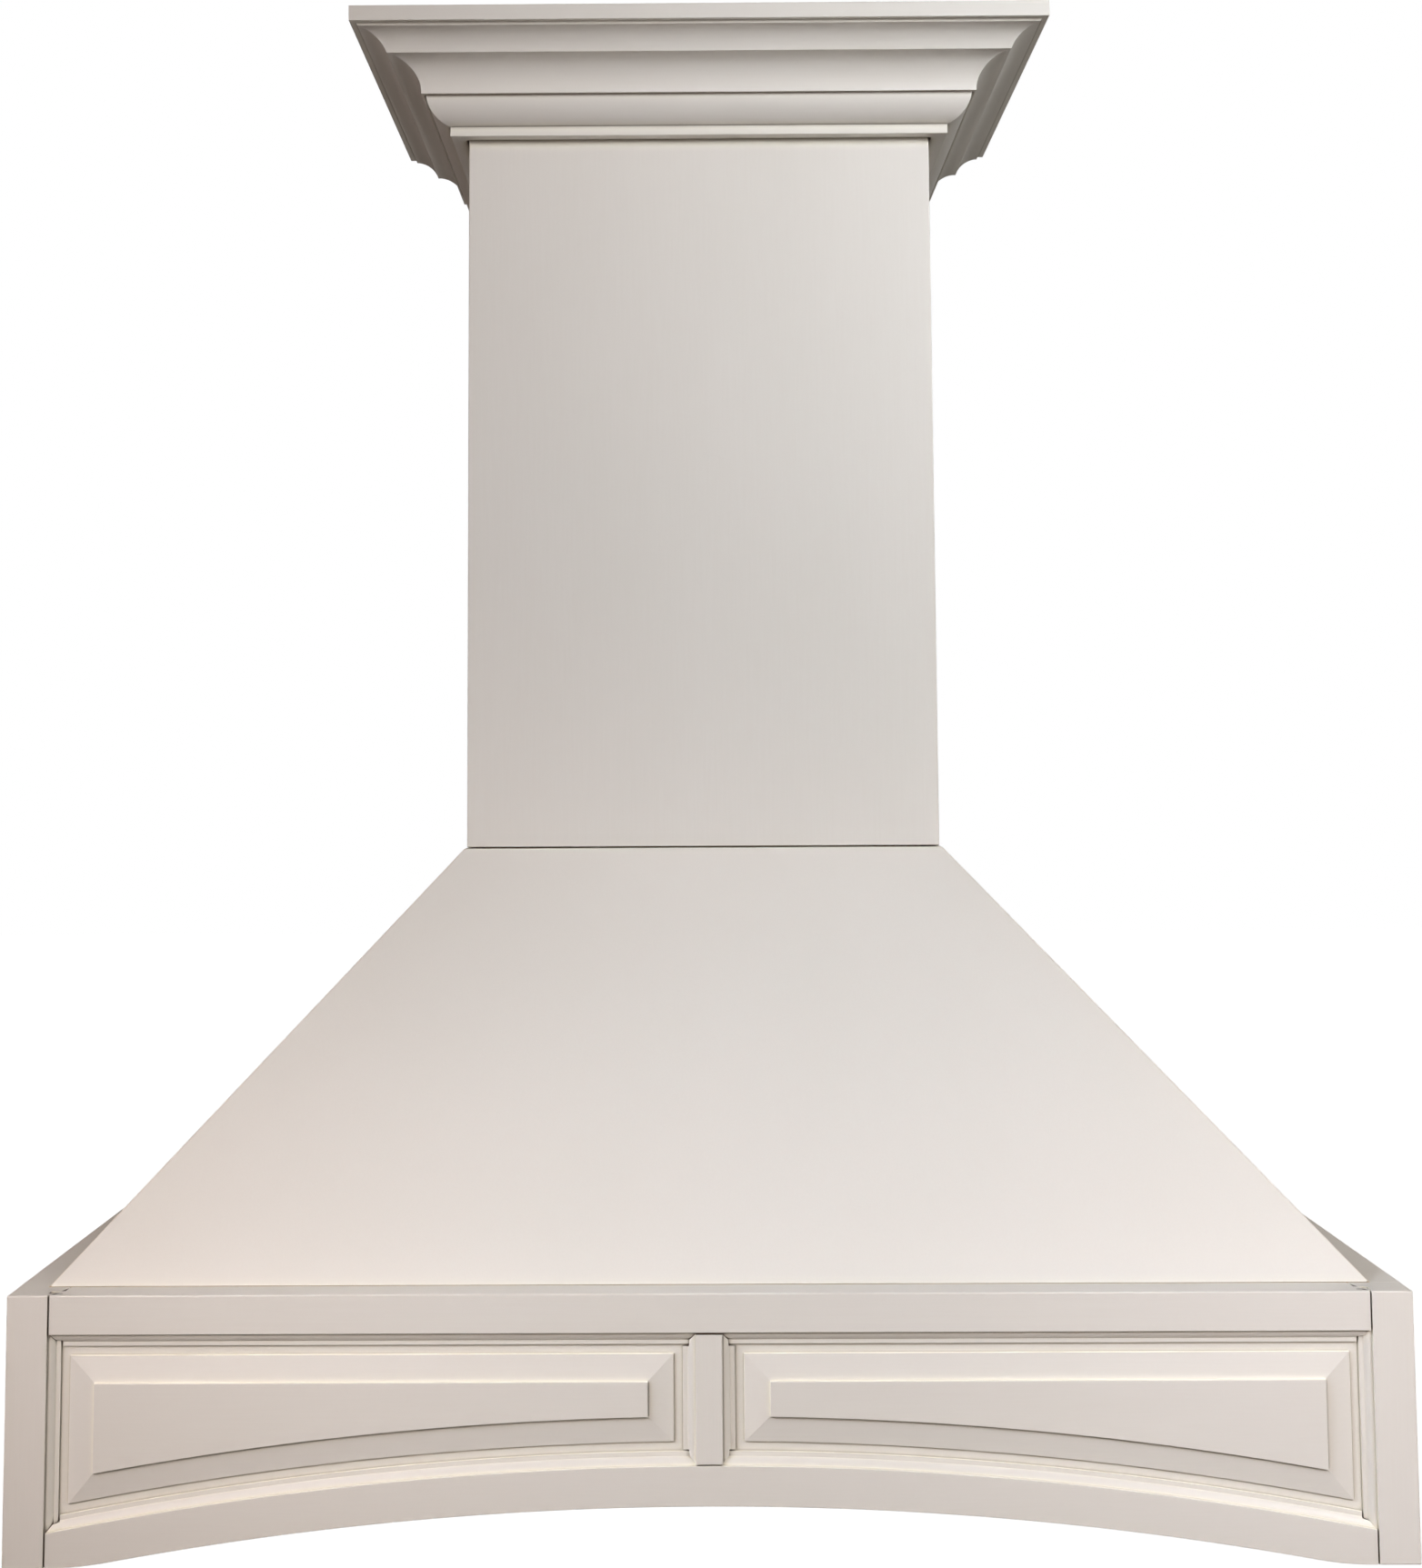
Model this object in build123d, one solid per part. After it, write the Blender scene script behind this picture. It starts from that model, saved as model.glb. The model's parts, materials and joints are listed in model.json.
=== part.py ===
from build123d import *
from math import asin, cos, atan2, degrees, sqrt
import os

# Wooden cover for a wall range hood: a panelled apron, a tapered cone, a chimney and a crown.
# Millimetres, +Z up. The wall is the plane Y = 0 and the front faces -Y. The origin lies on the
# wall, in the middle of the four screw holes of the lower wall rail.

# Outside of the hood
hood_width = 914.4
hood_depth = 558.8
apron_height = 172.0
seam_height = 452.6  # underside of the apron to the joint between cone and chimney
total_height = 1096.8
chimney_width = 367.0
chimney_depth = 301.0
cone_lip = 2.0  # each side of the cone's top stands out this far past the chimney
seam_gap = 0.8  # the chimney's skins stop short of the cone, so that the inner rings meet first

# Boards and battens
frame_thickness = 25.0
side_thickness = 20.6
skin_thickness = 12.7
batten_thickness = 19.0
seat_height = 45.0
cleat_height = 30.0
ring_width = 38.0
rear_batten_width = 40.0
hip_batten_width = 30.0
corner_batten_width = 19.0
edge_rounding = 1.2
cut_spare = 5.0  # cutting shapes run this far past the wood

# Front frame of the apron
post_width = 26.8
top_rail_height = 25.2
bottom_rail_height = 25.3
mullion_width = 17.5
arch_rise = 37.5  # top of the arch above the underside
arch_flat_length = 1.8  # level stretch beside each post
arch_sweep_length = 20.2  # from the level stretch to where the plain arch would meet it

# Moulded inner edge of the frame, with the groove that holds the panels
moulding_width = 8.2
moulding_step = 1.0
moulding_round_width = 5.2
moulding_round_drop = 4.0
moulding_round_bulge = 0.9
groove_setback = 6.5  # face of the frame to the groove
groove_width = 6.5
groove_depth = 9.5
joint_gap = 0.8  # open line between a coped end and the member that it meets
tenon_clearance = 0.15
tenon_end_clearance = 0.3

# Raised panels
panel_margin = 14.2  # edge of the frame's face to the foot of the bevel
bevel_width = 16.8
bevel_drop = 3.5
field_setback = 1.0  # face of the frame to the raised field
field_step = 1.2
panel_end_clearance = 1.0

# Wall rails and the board that carries the extractor insert
stud_spacing = 406.4
wall_hole_radius = 3.0
lower_rail_height = 105.0
lower_hole_pitch = 55.0
upper_rail_height = 90.0
upper_rail_level = 260.0  # underside of the apron to the underside of the upper wall rail
upper_hole_pitch = 45.0
ceiling_rail_height = 76.0
top_hole_pitch = 254.0
insert_board_level = 48.0
insert_board_thickness = 19.0
insert_board_clearance = 0.4
cutout_width = 700.0
cutout_depth = 370.0
cutout_corner_radius = 10.0
insert_hole_margin = 18.0
insert_hole_radius = 2.2

# Crown moulding, from its top band down to the fillet against the chimney
band_height = 11.8
band_setback = 5.0
bead_setback = 1.0
bead_height = 2.2
bead_return = 1.5
upper_cove_width = 18.3
upper_cove_height = 14.8
upper_cove_hollow = 3.4
upper_step = 2.7
lower_cove_width = 21.5
lower_cove_height = 25.0
lower_cove_hollow = 6.6
lower_step = 3.4
ovolo_width = 17.4
ovolo_height = 20.9
ovolo_bulge = 4.6
fillet_height = 7.3
fillet_projection = 13.5
crown_gap = 1.5  # the crown stands clear of the chimney's skins
crown_land_height = 20.0
crown_top_width = 30.0
crown_block_width = 40.0
crown_block_spacing = 120.0
crown_block_wall_distance = 90.0

# Countersunk wood screws, eight-sided like the holes that they fill
screw_sides = 8
screw_shank_radius = 2.0
screw_head_radius = 4.2
screw_head_height = 2.6
screw_recess = 0.3  # heads lie this far under the wood's face
screw_length = 32.0
screw_tip_length = 5.0
screw_tip_radius = 0.4
screw_hole_clearance = 0.1
screw_edge_distance = 9.5
board_screw_spacing = 290.0
ring_screw_spacing = 110.0
crown_screw_drop = 20.0

# Levels and places that follow from the sizes above
fixing_height = insert_board_level + insert_board_thickness + lower_rail_height / 2
underside_z = -fixing_height
apron_top_z = underside_z + apron_height
seam_z = underside_z + seam_height
top_z = underside_z + total_height
board_top_z = underside_z + insert_board_level + insert_board_thickness
front_y = -hood_depth
frame_back_y = front_y + frame_thickness
inner_half_width = hood_width / 2 - side_thickness
opening_half_width = hood_width / 2 - post_width
top_rail_edge_z = apron_top_z - top_rail_height
arch_foot_x = opening_half_width - arch_flat_length - arch_sweep_length
arch_radius = (arch_foot_x**2 + arch_rise**2) / (2 * arch_rise)
arch_sweep_radius = arch_sweep_length * arch_foot_x / arch_rise
arch_centre_z = underside_z + arch_rise - arch_radius
bottom_rail_edge_radius = arch_radius + bottom_rail_height
bottom_rail_edge_z = arch_centre_z + bottom_rail_edge_radius
groove_bottom = moulding_width - groove_depth
arch_axis = Axis((0, 0, arch_centre_z), (0, 1, 0))
arch_half_angle = degrees(asin(opening_half_width / arch_radius)) + 1

cone_rise = seam_height - apron_height
cone_base_half_width = inner_half_width
cone_base_depth = hood_depth - frame_thickness
cone_top_half_width = chimney_width / 2 + cone_lip
side_run = cone_base_half_width - cone_top_half_width
front_run = cone_base_depth - chimney_depth
side_inset = skin_thickness / cos(atan2(side_run, cone_rise))
front_inset = skin_thickness / cos(atan2(front_run, cone_rise))
ring_bottom_z = seam_z - batten_thickness

chimney_inner_half_width = chimney_width / 2 - skin_thickness
chimney_inner_depth = chimney_depth - skin_thickness
ring_opening_half_width = chimney_inner_half_width - ring_width
ring_opening_depth = chimney_inner_depth - ring_width

crown_overhang = (
    band_setback + bead_setback + bead_return + upper_cove_width + upper_step
    + lower_cove_width + lower_step + ovolo_width + fillet_projection
)
crown_height = (
    band_height + bead_height + upper_cove_height + lower_cove_height + ovolo_height + fillet_height
)
crown_bottom_z = top_z - crown_height


def block(x_span, y_span, z_span):
    """Rectangular board between three pairs of planes."""
    size = [high - low for low, high in (x_span, y_span, z_span)]
    centre = [(high + low) / 2 for low, high in (x_span, y_span, z_span)]
    return Pos(*centre) * Box(*size)


def upright(outline, back_y, thickness):
    """Board cut to an outline of X against height, standing in front of back_y."""
    return extrude(Plane.XZ.offset(-back_y) * outline, thickness)


def other_side(piece):
    """The same piece on the other side of the hood."""
    return mirror(piece, about=Plane.YZ)


def drill(points, radius, axis_direction, length):
    """Round holes that start at the points and run along one direction."""
    holes = []
    for point in points:
        mouth = Plane(origin=point, z_dir=axis_direction)
        holes.append(extrude(mouth * Circle(radius), length))
    return holes


# ---------------------------------------------------------------- front frame of the apron


def moulded_section(face_width):
    """Section of a frame member: X runs to the moulded edge and Y from the face to the back."""
    face = Line((-face_width, 0), (0, 0))
    step = Line((0, 0), (0, moulding_step))
    foot = (moulding_round_width, moulding_step + moulding_round_drop)
    rounded = SagittaArc((0, moulding_step), foot, -moulding_round_bulge)
    back = Polyline(
        foot,
        (moulding_width, foot[1]),
        (moulding_width, frame_thickness),
        (-face_width, frame_thickness),
        (-face_width, 0),
    )
    return make_face(face + step + rounded + back)


def groove_section():
    """Groove for the panels, cut into the moulded edge from beyond it."""
    width = groove_depth + cut_spare
    middle = (groove_bottom + width / 2, groove_setback + groove_width / 2)
    return Pos(*middle) * Rectangle(width, groove_width)


def eased_section(face_width):
    """Grooved member whose outer front corner is rounded."""
    section = moulded_section(face_width)
    corner = section.vertices().group_by(Axis.X)[0].sort_by(Axis.Y)[0]
    return fillet(corner, edge_rounding) - groove_section()


def post():
    """Left corner post, moulded and grooved over its whole height."""
    section = Pos(-opening_half_width, front_y, underside_z) * eased_section(post_width)
    body = extrude(section, apron_height)
    top_edges = body.faces().sort_by(Axis.Z)[-1].edges()
    front_edge = top_edges.filter_by(Axis.X).sort_by(Axis.Y)[0]
    side_edge = top_edges.filter_by(Axis.Y).sort_by(Axis.X)[0]
    return fillet([front_edge, side_edge], edge_rounding)


def post_cope():
    """Space that both posts take from a rail's ends, with the open joint line."""
    outline = offset(moulded_section(post_width), joint_gap, kind=Kind.INTERSECTION)
    section = Pos(-opening_half_width, front_y, underside_z - joint_gap) * outline
    cutter = extrude(section, apron_height + 2 * joint_gap)
    return [cutter, other_side(cutter)]


def rail_tenons(z_span):
    """Stub tenons that fill the posts' grooves at a rail's ends."""
    reach = opening_half_width - groove_bottom - tenon_end_clearance
    shoulder = opening_half_width - moulding_width - groove_depth
    front = front_y + groove_setback + tenon_clearance
    back = front_y + groove_setback + groove_width - tenon_clearance
    tenon = block((shoulder, reach), (front, back), z_span)
    return [tenon, other_side(tenon)]


def top_rail_end(x):
    """Section plane at the top rail's lower edge, its X axis pointing down."""
    return Plane(origin=(x, front_y, top_rail_edge_z), x_dir=(0, 0, -1), z_dir=(1, 0, 0))


def top_rail():
    """Straight top rail, moulded below and rounded above, with coped ends."""
    start = top_rail_end(-opening_half_width)
    rail = extrude(start * eased_section(top_rail_height), 2 * opening_half_width)
    rail = rail - post_cope()
    groove_top_z = top_rail_edge_z - groove_bottom
    return rail + rail_tenons((groove_top_z, apron_top_z - edge_rounding))


def arch_outline():
    """Bottom rail's lower edge seen from the front, closed well above its moulding."""
    left_foot = (-arch_foot_x, underside_z)
    right_foot = (arch_foot_x, underside_z)
    top = bottom_rail_edge_z + moulding_width + cut_spare
    arch = ThreePointArc(left_foot, (0, underside_z + arch_rise), right_foot)
    sides = Polyline(
        right_foot,
        (opening_half_width, underside_z),
        (opening_half_width, top),
        (-opening_half_width, top),
        (-opening_half_width, underside_z),
        left_foot,
    )
    outline = make_face(arch + sides)
    feet = outline.vertices().group_by(Axis.Y)[0].sort_by(Axis.X)[1:3]
    return fillet(feet, arch_sweep_radius)


def along_arch(section, half_angle):
    """Turn a section, placed at the bottom rail's upper edge, about the centre of the arch."""
    crest = Plane(origin=(0, front_y, bottom_rail_edge_z), x_dir=(0, 0, 1), z_dir=(-1, 0, 0))
    start = (crest * section).rotate(arch_axis, -half_angle)
    return revolve(start, axis=arch_axis, revolution_arc=2 * half_angle)


def bottom_rail():
    """Arched bottom rail, turned about the centre of the arch and then cut to its lower edge."""
    stock = moulded_section(bottom_rail_height + cut_spare) - groove_section()
    cut = upright(arch_outline(), frame_back_y + cut_spare, frame_thickness + 2 * cut_spare)
    rail = along_arch(stock, arch_half_angle) & cut
    rail = rail - post_cope()
    groove_radius = bottom_rail_edge_radius + groove_bottom
    tenon_top_z = arch_centre_z + sqrt(groove_radius**2 - opening_half_width**2)
    return rail + rail_tenons((underside_z, tenon_top_z - tenon_end_clearance))


def mullion_section():
    """Middle member of the frame, moulded and grooved on both edges."""
    half = Pos(mullion_width / 2, 0) * (moulded_section(mullion_width / 2) - groove_section())
    return half + mirror(half, about=Plane.YZ)


def mullion():
    """Middle upright, coped over both rails and held by a tenon in each groove."""
    low_z = bottom_rail_edge_z
    section = Pos(0, front_y, low_z) * mullion_section()
    body = extrude(section, top_rail_edge_z - low_z)
    top_section = offset(moulded_section(top_rail_height), joint_gap, kind=Kind.INTERSECTION)
    bottom_section = offset(moulded_section(bottom_rail_height), joint_gap, kind=Kind.INTERSECTION)
    body = body - extrude(top_rail_end(-hood_width / 4) * top_section, hood_width / 2)
    body = body - along_arch(bottom_section, arch_half_angle / 4)
    tenon_half_width = mullion_width / 2 + groove_bottom
    front = front_y + groove_setback + tenon_clearance
    back = front_y + groove_setback + groove_width - tenon_clearance
    foot_z = bottom_rail_edge_z + groove_bottom + tenon_end_clearance
    head_z = top_rail_edge_z - groove_bottom - tenon_end_clearance
    return body + block((-tenon_half_width, tenon_half_width), (front, back), (foot_z, head_z))


def panel_outline(margin):
    """Left panel's outline at a distance inside the faces of post, rails and mullion."""
    left = -opening_half_width + margin
    right = -mullion_width / 2 - margin
    top = top_rail_edge_z - margin
    radius = bottom_rail_edge_radius + margin
    arc_x = [left, (left + right) / 2, right]
    arc = [(x, arch_centre_z + sqrt(radius**2 - x**2)) for x in arc_x]
    sides = Polyline(arc[0], (left, top), (right, top), arc[2])
    return make_face(sides + ThreePointArc(*arc))


def panel_layer(margin, front_setback, back_setback):
    """Flat layer of a panel between two depths behind the frame's face."""
    return upright(panel_outline(margin), front_y + back_setback, back_setback - front_setback)


def raised_panel():
    """Left panel: a tongue in the frame's grooves, a mitred bevel and a flat raised field."""
    tongue_front = groove_setback + tenon_clearance
    tongue_back = groove_setback + groove_width - tenon_clearance
    bevel_top = field_setback + field_step
    bevel_foot = bevel_top + bevel_drop
    field_margin = panel_margin + bevel_width
    tongue = panel_layer(groove_bottom + panel_end_clearance, tongue_front, tongue_back)
    foot = panel_layer(panel_margin, bevel_foot, tongue_back)
    field = panel_layer(field_margin, field_setback, tongue_back)
    bevel_edges = [
        Plane.XZ.offset(-(front_y + bevel_foot)) * panel_outline(panel_margin),
        Plane.XZ.offset(-(front_y + bevel_top)) * panel_outline(field_margin),
    ]
    return tongue + foot + loft(bevel_edges, ruled=True) + field


# ---------------------------------------------------------------- apron box


def side_panel():
    """Left side of the apron, from the post to the wall."""
    panel = block((-hood_width / 2, -inner_half_width), (frame_back_y, 0), (underside_z, apron_top_z))
    outer_top = panel.edges().filter_by(Axis.Y).sort_by(Axis.Z)[-2:].sort_by(Axis.X)[0]
    return fillet(outer_top, edge_rounding)


def wall_hole_points(level_z, x_pitch, z_pitches):
    """Middles of screw holes on the wall, in rows above and below a level."""
    return [(x, 0, level_z + z) for x in (-x_pitch / 2, x_pitch / 2) for z in z_pitches]


def drilled_rail(rail, points):
    """Wall rail with its screw holes drilled through from the wall side."""
    return rail - drill(points, wall_hole_radius, (0, -1, 0), batten_thickness)


def lower_wall_rail():
    """Rail that carries the hood, between the side panels and over the insert board."""
    rail = block((-inner_half_width, inner_half_width), (-batten_thickness, 0), (board_top_z, apron_top_z))
    pitches = (-lower_hole_pitch / 2, lower_hole_pitch / 2)
    rail = drilled_rail(rail, wall_hole_points(0, stud_spacing, pitches))
    return rail - screw_holes(insert_screw_lines())


def insert_screw_lines():
    """Screws that hold the insert board up to its cleats and to the wall rail."""
    side_x = inner_half_width - screw_edge_distance
    middle_y = (frame_back_y - batten_thickness) / 2
    half = board_screw_spacing / 2
    sides = [(x, middle_y + y) for x in (-side_x, side_x) for y in (-half, half)]
    end_rows = (frame_back_y + screw_edge_distance, -screw_edge_distance)
    ends = [(x, y) for x in (-half, half) for y in end_rows]
    return [((x, y, board_top_z - insert_board_thickness), (0, 0, 1)) for x, y in sides + ends]


def insert_board():
    """Board with the cut-out that the extractor insert hangs in."""
    reach = inner_half_width - insert_board_clearance
    front = frame_back_y + insert_board_clearance
    low_z = board_top_z - insert_board_thickness
    board = block((-reach, reach), (front, 0), (low_z, board_top_z))
    middle_y = (frame_back_y - batten_thickness) / 2
    cutout = RectangleRounded(cutout_width, cutout_depth, cutout_corner_radius)
    board = board - extrude(Pos(0, middle_y, low_z) * cutout, insert_board_thickness)
    hole_x = cutout_width / 2 + insert_hole_margin
    hole_y = cutout_depth / 2 + insert_hole_margin
    corners = [(x, middle_y + y, low_z) for x in (-hole_x, hole_x) for y in (-hole_y, hole_y)]
    board = board - drill(corners, insert_hole_radius, (0, 0, 1), insert_board_thickness)
    return board - screw_holes(insert_screw_lines())


def insert_cleat_side():
    """Left cleat over the edge of the insert board."""
    x_span = (-inner_half_width, -inner_half_width + batten_thickness)
    y_span = (frame_back_y + batten_thickness, -batten_thickness)
    cleat = block(x_span, y_span, (board_top_z, board_top_z + cleat_height))
    return cleat - screw_holes(insert_screw_lines())


def insert_cleat_front():
    """Front cleat over the edge of the insert board, behind posts and mullion."""
    y_span = (frame_back_y, frame_back_y + batten_thickness)
    cleat = block((-inner_half_width, inner_half_width), y_span, (board_top_z, board_top_z + cleat_height))
    return cleat - screw_holes(insert_screw_lines())


def cone_seat_side():
    """Left batten that the cone's side stands on, level with the top of the apron."""
    x_span = (-inner_half_width, -inner_half_width + batten_thickness)
    y_span = (frame_back_y + batten_thickness, -batten_thickness)
    return block(x_span, y_span, (apron_top_z - seat_height, apron_top_z))


def cone_seat_front():
    """Front batten that the cone's front stands on."""
    y_span = (frame_back_y, frame_back_y + batten_thickness)
    return block((-inner_half_width, inner_half_width), y_span, (apron_top_z - seat_height, apron_top_z))


# ---------------------------------------------------------------- cone


def cone_inner_half_width(z):
    """Half the clear width inside the cone at a height."""
    return cone_base_half_width - side_inset - side_run * (z - apron_top_z) / cone_rise


def cone_inner_depth(z):
    """Clear depth from the wall to the inside of the cone's front at a height."""
    return cone_base_depth - front_inset - front_run * (z - apron_top_z) / cone_rise


def stump(side_cut, front_cut, rear_y):
    """Solid stump of a pyramid between apron and seam, with its sloping faces moved in."""
    low_half = cone_base_half_width - side_cut
    high_half = cone_top_half_width - side_cut
    low_front = front_cut - cone_base_depth
    high_front = front_cut - chimney_depth
    from_front = Polyline(
        (-low_half, apron_top_z),
        (low_half, apron_top_z),
        (high_half, seam_z),
        (-high_half, seam_z),
        close=True,
    )
    from_side = Polyline(
        (low_front, apron_top_z),
        (rear_y, apron_top_z),
        (rear_y, seam_z),
        (high_front, seam_z),
        close=True,
    )
    across = upright(make_face(from_front), rear_y, rear_y - low_front)
    return across & extrude(Plane.YZ.offset(-low_half) * make_face(from_side), 2 * low_half)


def cone_skin():
    """The cone's three skins in one, open above, below and at the wall."""
    return stump(0, 0, 0) - stump(side_inset, front_inset, skin_thickness)


def hip_plane():
    """Mitre plane through the cone's left front corner, facing back and to the left."""
    outer_low = Vector(-cone_base_half_width, -cone_base_depth, apron_top_z)
    outer_high = Vector(-cone_top_half_width, -chimney_depth, seam_z)
    inwards = Vector(side_inset, front_inset, 0)
    along = outer_high - outer_low
    return Plane(origin=outer_low, x_dir=along, z_dir=along.cross(inwards))


def mirrored_plane(plane):
    """A mitre plane on the other side of the hood, still facing away from the middle."""
    origin, x_dir, z_dir = ((-v.X, v.Y, v.Z) for v in (plane.origin, plane.x_dir, plane.z_dir))
    return Plane(origin=origin, x_dir=x_dir, z_dir=z_dir)


def cone_front():
    """Front skin of the cone, mitred along both hips."""
    right = split(cone_skin(), bisect_by=hip_plane(), keep=Keep.BOTTOM)
    return split(right, bisect_by=mirrored_plane(hip_plane()), keep=Keep.BOTTOM)


def cone_side():
    """Left skin of the cone, mitred along its hip."""
    return split(cone_skin(), bisect_by=hip_plane(), keep=Keep.TOP)


def hip_batten():
    """Three-cornered strip glued inside the cone's left hip."""
    section = make_face(Polyline((0, 0), (hip_batten_width, 0), (0, hip_batten_width), close=True))
    faces = []
    for z in (apron_top_z, ring_bottom_z):
        faces.append(Pos(-cone_inner_half_width(z), -cone_inner_depth(z), z) * section)
    return loft(faces, ruled=True)


def cone_rear_batten():
    """Strip along the left skin's rear edge, against the wall."""
    faces = []
    for z in (apron_top_z, ring_bottom_z):
        x = -cone_inner_half_width(z) + rear_batten_width / 2
        faces.append(Pos(x, -batten_thickness / 2, z) * Rectangle(rear_batten_width, batten_thickness))
    return loft(faces, ruled=True)


def upper_wall_rail():
    """Second wall rail, its ends sloped to fit between the cone's rear battens."""
    low_z = underside_z + upper_rail_level
    high_z = low_z + upper_rail_height
    low_half = cone_inner_half_width(low_z) - rear_batten_width
    high_half = cone_inner_half_width(high_z) - rear_batten_width
    corners = [(-low_half, low_z), (low_half, low_z), (high_half, high_z), (-high_half, high_z)]
    rail = upright(make_face(Polyline(corners, close=True)), 0, batten_thickness)
    pitches = (-upper_hole_pitch / 2, upper_hole_pitch / 2)
    return drilled_rail(rail, wall_hole_points((low_z + high_z) / 2, stud_spacing, pitches))


def ring_boards(outer_half_width, outer_depth):
    """Four flat boards round the duct: front and back ones between the two side ones."""
    inner = ring_opening_half_width
    return {
        "front": ((-inner, inner), (-outer_depth, -ring_opening_depth)),
        "back": ((-inner, inner), (-ring_width, 0)),
        "left": ((-outer_half_width, -inner), (-outer_depth, 0)),
        "right": ((inner, outer_half_width), (-outer_depth, 0)),
    }


def ring_screw_lines():
    """Screws that pull the chimney's ring down to the cone's ring."""
    side_x = ring_opening_half_width + ring_width / 2
    front = -(ring_opening_depth + ring_width / 2)
    middle_y = -chimney_inner_depth / 2
    half = ring_screw_spacing / 2
    sides = [(x, middle_y + y) for x in (-side_x, side_x) for y in (-half, half)]
    fronts = [(x, front) for x in (-half, half)]
    return [((x, y, ring_bottom_z), (0, 0, 1)) for x, y in sides + fronts]


def cone_ring():
    """Boards under the seam, their outer edges bevelled to the cone's skins."""
    inside = stump(side_inset, front_inset, 0)
    holes = screw_holes(ring_screw_lines())
    pieces = {}
    for name, (x_span, y_span) in ring_boards(cone_base_half_width, cone_base_depth).items():
        board = block(x_span, y_span, (ring_bottom_z, seam_z)) & inside
        pieces[name] = board - holes
    return pieces


# ---------------------------------------------------------------- chimney


def chimney_front():
    """Front skin of the chimney, over the front edges of the side skins."""
    half = chimney_width / 2
    skin = block((-half, half), (-chimney_depth, -chimney_inner_depth), (seam_z + seam_gap, top_z))
    skin = fillet(skin.edges().filter_by(Axis.Z).group_by(Axis.Y)[0], edge_rounding)
    return skin - screw_holes(crown_screw_lines())


def chimney_side():
    """Left skin of the chimney."""
    x_span = (-chimney_width / 2, -chimney_inner_half_width)
    skin = block(x_span, (-chimney_inner_depth, 0), (seam_z + seam_gap, top_z))
    return skin - screw_holes(crown_screw_lines())


def chimney_ring():
    """Boards that stand on the cone's ring, inside the chimney's skins."""
    holes = screw_holes(ring_screw_lines())
    pieces = {}
    for name, (x_span, y_span) in ring_boards(chimney_inner_half_width, chimney_inner_depth).items():
        pieces[name] = block(x_span, y_span, (seam_z, seam_z + batten_thickness)) - holes
    return pieces


def corner_batten():
    """Upright glued into the chimney's left front corner."""
    x_span = (-chimney_inner_half_width, -chimney_inner_half_width + corner_batten_width)
    y_span = (-chimney_inner_depth, -chimney_inner_depth + corner_batten_width)
    return block(x_span, y_span, (seam_z + batten_thickness, top_z))


def ceiling_rail():
    """Rail between the chimney's side skins at the ceiling, for two wall screws."""
    x_span = (-chimney_inner_half_width, chimney_inner_half_width)
    rail = block(x_span, (-batten_thickness, 0), (top_z - ceiling_rail_height, top_z))
    level = top_z - ceiling_rail_height / 2
    return drilled_rail(rail, wall_hole_points(level, top_hole_pitch, (0,)))


# ---------------------------------------------------------------- crown


def crown_section():
    """Crown moulding: X is the distance out from the chimney and Y the height over its foot."""
    band_foot = (crown_overhang, crown_height - band_height)
    bead_top = (band_foot[0] - band_setback, band_foot[1])
    bead_foot = (bead_top[0] - bead_setback, bead_top[1] - bead_height)
    upper_start = (bead_foot[0] - bead_return, bead_foot[1])
    upper_end = (upper_start[0] - upper_cove_width, upper_start[1] - upper_cove_height)
    lower_start = (upper_end[0] - upper_step, upper_end[1])
    lower_end = (lower_start[0] - lower_cove_width, lower_start[1] - lower_cove_height)
    ovolo_start = (lower_end[0] - lower_step, lower_end[1])
    ovolo_end = (ovolo_start[0] - ovolo_width, ovolo_start[1] - ovolo_height)
    top_inner = (crown_overhang - crown_top_width, crown_height)
    band = Polyline((crown_overhang, crown_height), band_foot, bead_top, bead_foot, upper_start)
    back = Polyline(
        ovolo_end,
        (ovolo_end[0], 0),
        (crown_gap, 0),
        (crown_gap, crown_land_height),
        top_inner,
        (crown_overhang, crown_height),
    )
    upper_cove = SagittaArc(upper_start, upper_end, -upper_cove_hollow)
    lower_cove = SagittaArc(lower_start, lower_end, -lower_cove_hollow)
    ovolo = SagittaArc(ovolo_start, ovolo_end, ovolo_bulge)
    steps = Line(upper_end, lower_start) + Line(lower_end, ovolo_start)
    return make_face(band + upper_cove + lower_cove + ovolo + steps + back)


def out_of_front(x):
    """Section plane on the chimney's front at X, looking to the left."""
    return Plane(origin=(x, -chimney_depth, crown_bottom_z), x_dir=(0, -1, 0), z_dir=(-1, 0, 0))


def out_of_left_side(y):
    """Section plane on the chimney's left side at Y, looking back to the wall."""
    return Plane(origin=(-chimney_width / 2, y, crown_bottom_z), x_dir=(-1, 0, 0), z_dir=(0, 1, 0))


def crown_mitre():
    """Mitre plane at the crown's left front corner, facing back and to the left."""
    return Plane(origin=(-chimney_width / 2, -chimney_depth, 0), x_dir=(0, 0, 1), z_dir=(-1, 1, 0))


def crown_front():
    """Front length of the crown, mitred at both ends."""
    reach = chimney_width / 2 + crown_overhang
    moulding = extrude(out_of_front(reach) * crown_section(), 2 * reach)
    moulding = split(moulding, bisect_by=crown_mitre(), keep=Keep.BOTTOM)
    return split(moulding, bisect_by=mirrored_plane(crown_mitre()), keep=Keep.BOTTOM)


def crown_return():
    """Left length of the crown, mitred in front and square at the wall."""
    reach = chimney_depth + crown_overhang
    moulding = extrude(out_of_left_side(-reach) * crown_section(), reach)
    return split(moulding, bisect_by=crown_mitre(), keep=Keep.TOP)


def crown_block_section():
    """Wedge that fills the space between the chimney and the crown's sloping back."""
    corners = [
        (0, crown_land_height),
        (crown_gap, crown_land_height),
        (crown_overhang - crown_top_width, crown_height),
        (0, crown_height),
    ]
    return make_face(Polyline(corners, close=True))


def crown_block_places():
    """Middles of the crown blocks: X along the front and Y along each side."""
    fronts = (-crown_block_spacing, 0, crown_block_spacing)
    sides = (-crown_block_wall_distance, crown_block_wall_distance - chimney_depth)
    return fronts, sides


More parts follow.
